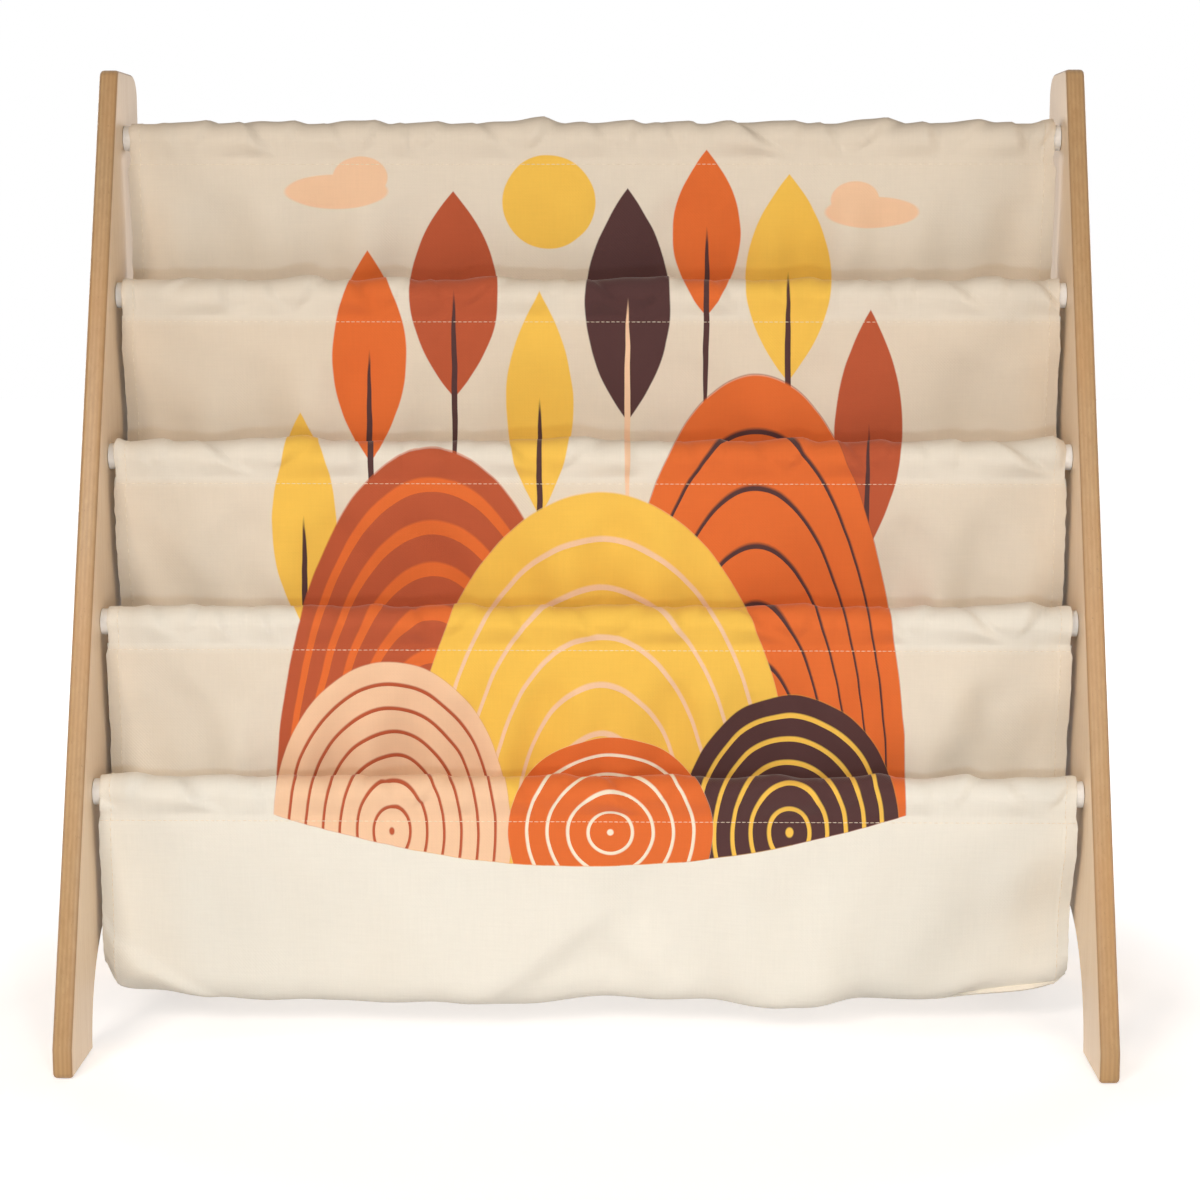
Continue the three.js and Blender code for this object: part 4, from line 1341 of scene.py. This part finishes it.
def panel_faces(rows, columns):
    """The quads of both skins and the four rims, each with the side of the cloth that it belongs to."""
    at = np.arange(rows * columns).reshape(rows, columns)
    a, b, c, d = at[:-1, :-1], at[1:, :-1], at[1:, 1:], at[:-1, 1:]
    front = np.stack([a, b, c, d], axis=-1).reshape(-1, 4)
    other = rows * columns
    back = np.stack([a, d, c, b], axis=-1).reshape(-1, 4) + other
    rims = []
    for first, second in ((at[0, :-1], at[0, 1:]), (at[-1, 1:], at[-1, :-1]),
                          (at[1:, 0], at[:-1, 0]), (at[:-1, -1], at[1:, -1])):
        rims.append(np.stack([first, second, second + other, first + other], axis=-1))
    rims = np.concatenate(rims)
    side = np.concatenate([np.zeros(len(front)), np.ones(len(back)), np.full(len(rims), 2)]).astype(int)
    return np.concatenate([front, back, rims]), side


def map_panel(mesh, faces, side, below_seam, places, columns):
    """Writes the cloth's flat map, measured down from its sleeve's seam, and the map of the print."""
    scale, heights, shown = places
    corner = faces % (len(below_seam) * columns)
    row, column = corner // columns, corner % columns
    x = column_places()[column]
    flat_map = mesh.uv_layers.new(name="cloth")
    flat_map.uv.foreach_set("vector", np.stack([x, below_seam[row]], axis=-1).astype(np.float32).ravel())
    height = np.full(faces.shape, OFF_PRINT)
    for which in (0, 1):
        printed = (side == which) & shown[which][row].all(axis=1)
        height[printed] = heights[which][row][printed]
    across = PICTURE_POINT[0] + (x - PICTURE_POINT[0]) * scale[row]
    print_map = mesh.uv_layers.new(name="print")
    print_map.uv.foreach_set("vector", np.stack([across, height], axis=-1).astype(np.float32).ravel())


def build_panel(number):
    """Makes one panel's mesh and keeps its two skins for the stitches."""
    grid, flat, starts = shape_panel(number)
    front, back = skins(grid)
    rows, columns = grid.shape[:2]
    faces, side = panel_faces(rows, columns)
    mesh = bpy.data.meshes.new(f"canvas_panel_{number}")
    vertices = np.concatenate([front.reshape(-1, 3), back.reshape(-1, 3)])
    mesh.from_pydata(vertices.tolist(), [], faces.tolist())
    places = print_places(number, flat, starts, path_arrays(number)[0])
    map_panel(mesh, faces, side, flat - flat[starts["wall"]], places, columns)
    piece = keep_mesh(mesh.name, mesh, canvas, CLOTH_SMOOTH_ANGLE)
    print(piece.name, "flat length", round(flat[-1], 4), "m,", 2 * len(faces), "triangles")
    return {"piece": piece, "front": front, "back": back, "flat": flat, "starts": starts}


panels = [build_panel(number) for number in range(1, PANELS + 1)]

# %% [markdown]
# ## Stitches
# Each sleeve is closed by one row of cream thread, and the side hems are sewn down by another. Thousands
# of alike stitches are work for a rule: guide lines are read off the finished cloth, cut into even
# lengths, and a small thread-shaped grain is set on each point, turned along the line.

# %% Sewing thread and the stitch rule
STITCH_PITCH = 3.2 * MM
STITCH_LENGTH = 2.8 * MM
THREAD_RADIUS = 0.21 * MM
GRAIN_SIDES = 6
HEM_STITCH_IN = 6.2 * MM
SEAM_END_COLUMNS = 2
HEM_END_ROWS = 6
TINT_SCALE = 100.0


def make_thread():
    """Polyester sewing thread: smooth, a little yellower than the cloth, its tint changing on the way."""
    material, tree, shader = new_material("polyester_thread_cream", Roughness=0.55, Sheen_Weight=0.2)
    place = add(tree, "ShaderNodeTexCoord", out="Object")
    wave = add(tree, "ShaderNodeTexWave", {"Vector": place, "Scale": TINT_SCALE}, bands_direction="DIAGONAL")
    tint = add(tree, "ShaderNodeMix", {0: wave, 6: linear("#F3E7D2"), 7: linear("#E2D2B8")}, out=2,
               data_type="RGBA")
    tree.links.new(tint, shader.inputs["Base Color"])
    return material


def make_stitch_rule():
    """Sets one long grain on every point of the evenly divided guide lines, turned along the line."""
    tree, given = new_rule("stitch_rule", {"Pitch": "Float", "Stitch length": "Float", "Thickness": "Float",
                                           "Thread": "Material"})
    path = add(tree, "GeometryNodeMeshToCurve", {"Mesh": given["Geometry"]})
    spaced = add(tree, "GeometryNodeResampleCurve", {"Curve": path, "Length": given["Pitch"]}, mode="LENGTH")
    grain = add(tree, "GeometryNodeMeshUVSphere", {"Segments": GRAIN_SIDES, "Rings": GRAIN_SIDES,
                                                   "Radius": 0.5})
    size = add(tree, "ShaderNodeCombineXYZ", {"X": given["Stitch length"], "Y": given["Thickness"],
                                              "Z": given["Thickness"]})
    tangent = add(tree, "GeometryNodeInputTangent")
    turned = add(tree, "FunctionNodeAlignRotationToVector", {"Vector": tangent}, axis="X")
    copies = add(tree, "GeometryNodeInstanceOnPoints", {"Points": spaced, "Instance": grain,
                                                        "Rotation": turned, "Scale": size})
    end_rule(tree, copies, given["Thread"])
    return tree


thread = make_thread()
stitch_rule = make_stitch_rule()

# %% Guide lines and stitching
def seam_lines(panel, number):
    """The sleeve seams of a panel, on the cloth's front and on the lap behind."""
    front, back, starts = panel["front"], panel["back"], panel["starts"]
    inner = slice(SEAM_END_COLUMNS, -SEAM_END_COLUMNS)
    lines = [front[starts["wall"] + 1, inner], front[starts["sleeve"] - 1, inner]]
    if number == PANELS:
        lines += [back[starts["front_sleeve"] - 1, inner], back[starts["front_lap"] + 1, inner]]
    return lines


def hem_lines(panel):
    """The hem seams down both ends of a panel, on both sides of the cloth."""
    places = column_places()
    column = int(np.argmin(np.abs(places + CLOTH_HALF_WIDTH - HEM_STITCH_IN)))
    first = panel["starts"]["sleeve"]
    last = panel["starts"].get("front_lap", len(panel["flat"]) - HEM_END_ROWS)
    lines = []
    for skin in (panel["front"], panel["back"]):
        lines += [skin[first:last, column], skin[first:last, -1 - column]]
    return lines


def guide_mesh(lines):
    """All guide lines as one mesh of edges."""
    mesh = bpy.data.meshes.new("guide")
    edges, at = [], 0
    for line in lines:
        edges += [(at + step, at + step + 1) for step in range(len(line) - 1)]
        at += len(line)
    mesh.from_pydata(np.concatenate(lines).tolist(), edges, [])
    return mesh


def dress_panel(panel, number):
    values = {"Pitch": STITCH_PITCH, "Stitch length": STITCH_LENGTH, "Thickness": 2 * THREAD_RADIUS,
              "Thread": thread}
    mesh = run_rule(stitch_rule, values, guide_mesh(seam_lines(panel, number) + hem_lines(panel)))
    stitching = keep_mesh(f"stitching_{number}", mesh, smooth_angle=None)
    piece = panel["piece"]
    for part in (piece, stitching):
        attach(part, "root")
    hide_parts(f"sling_panel_{number}")
    print(stitching.name, "has", len(mesh.polygons), "faces")


for number, panel in enumerate(panels, start=1):
    dress_panel(panel, number)
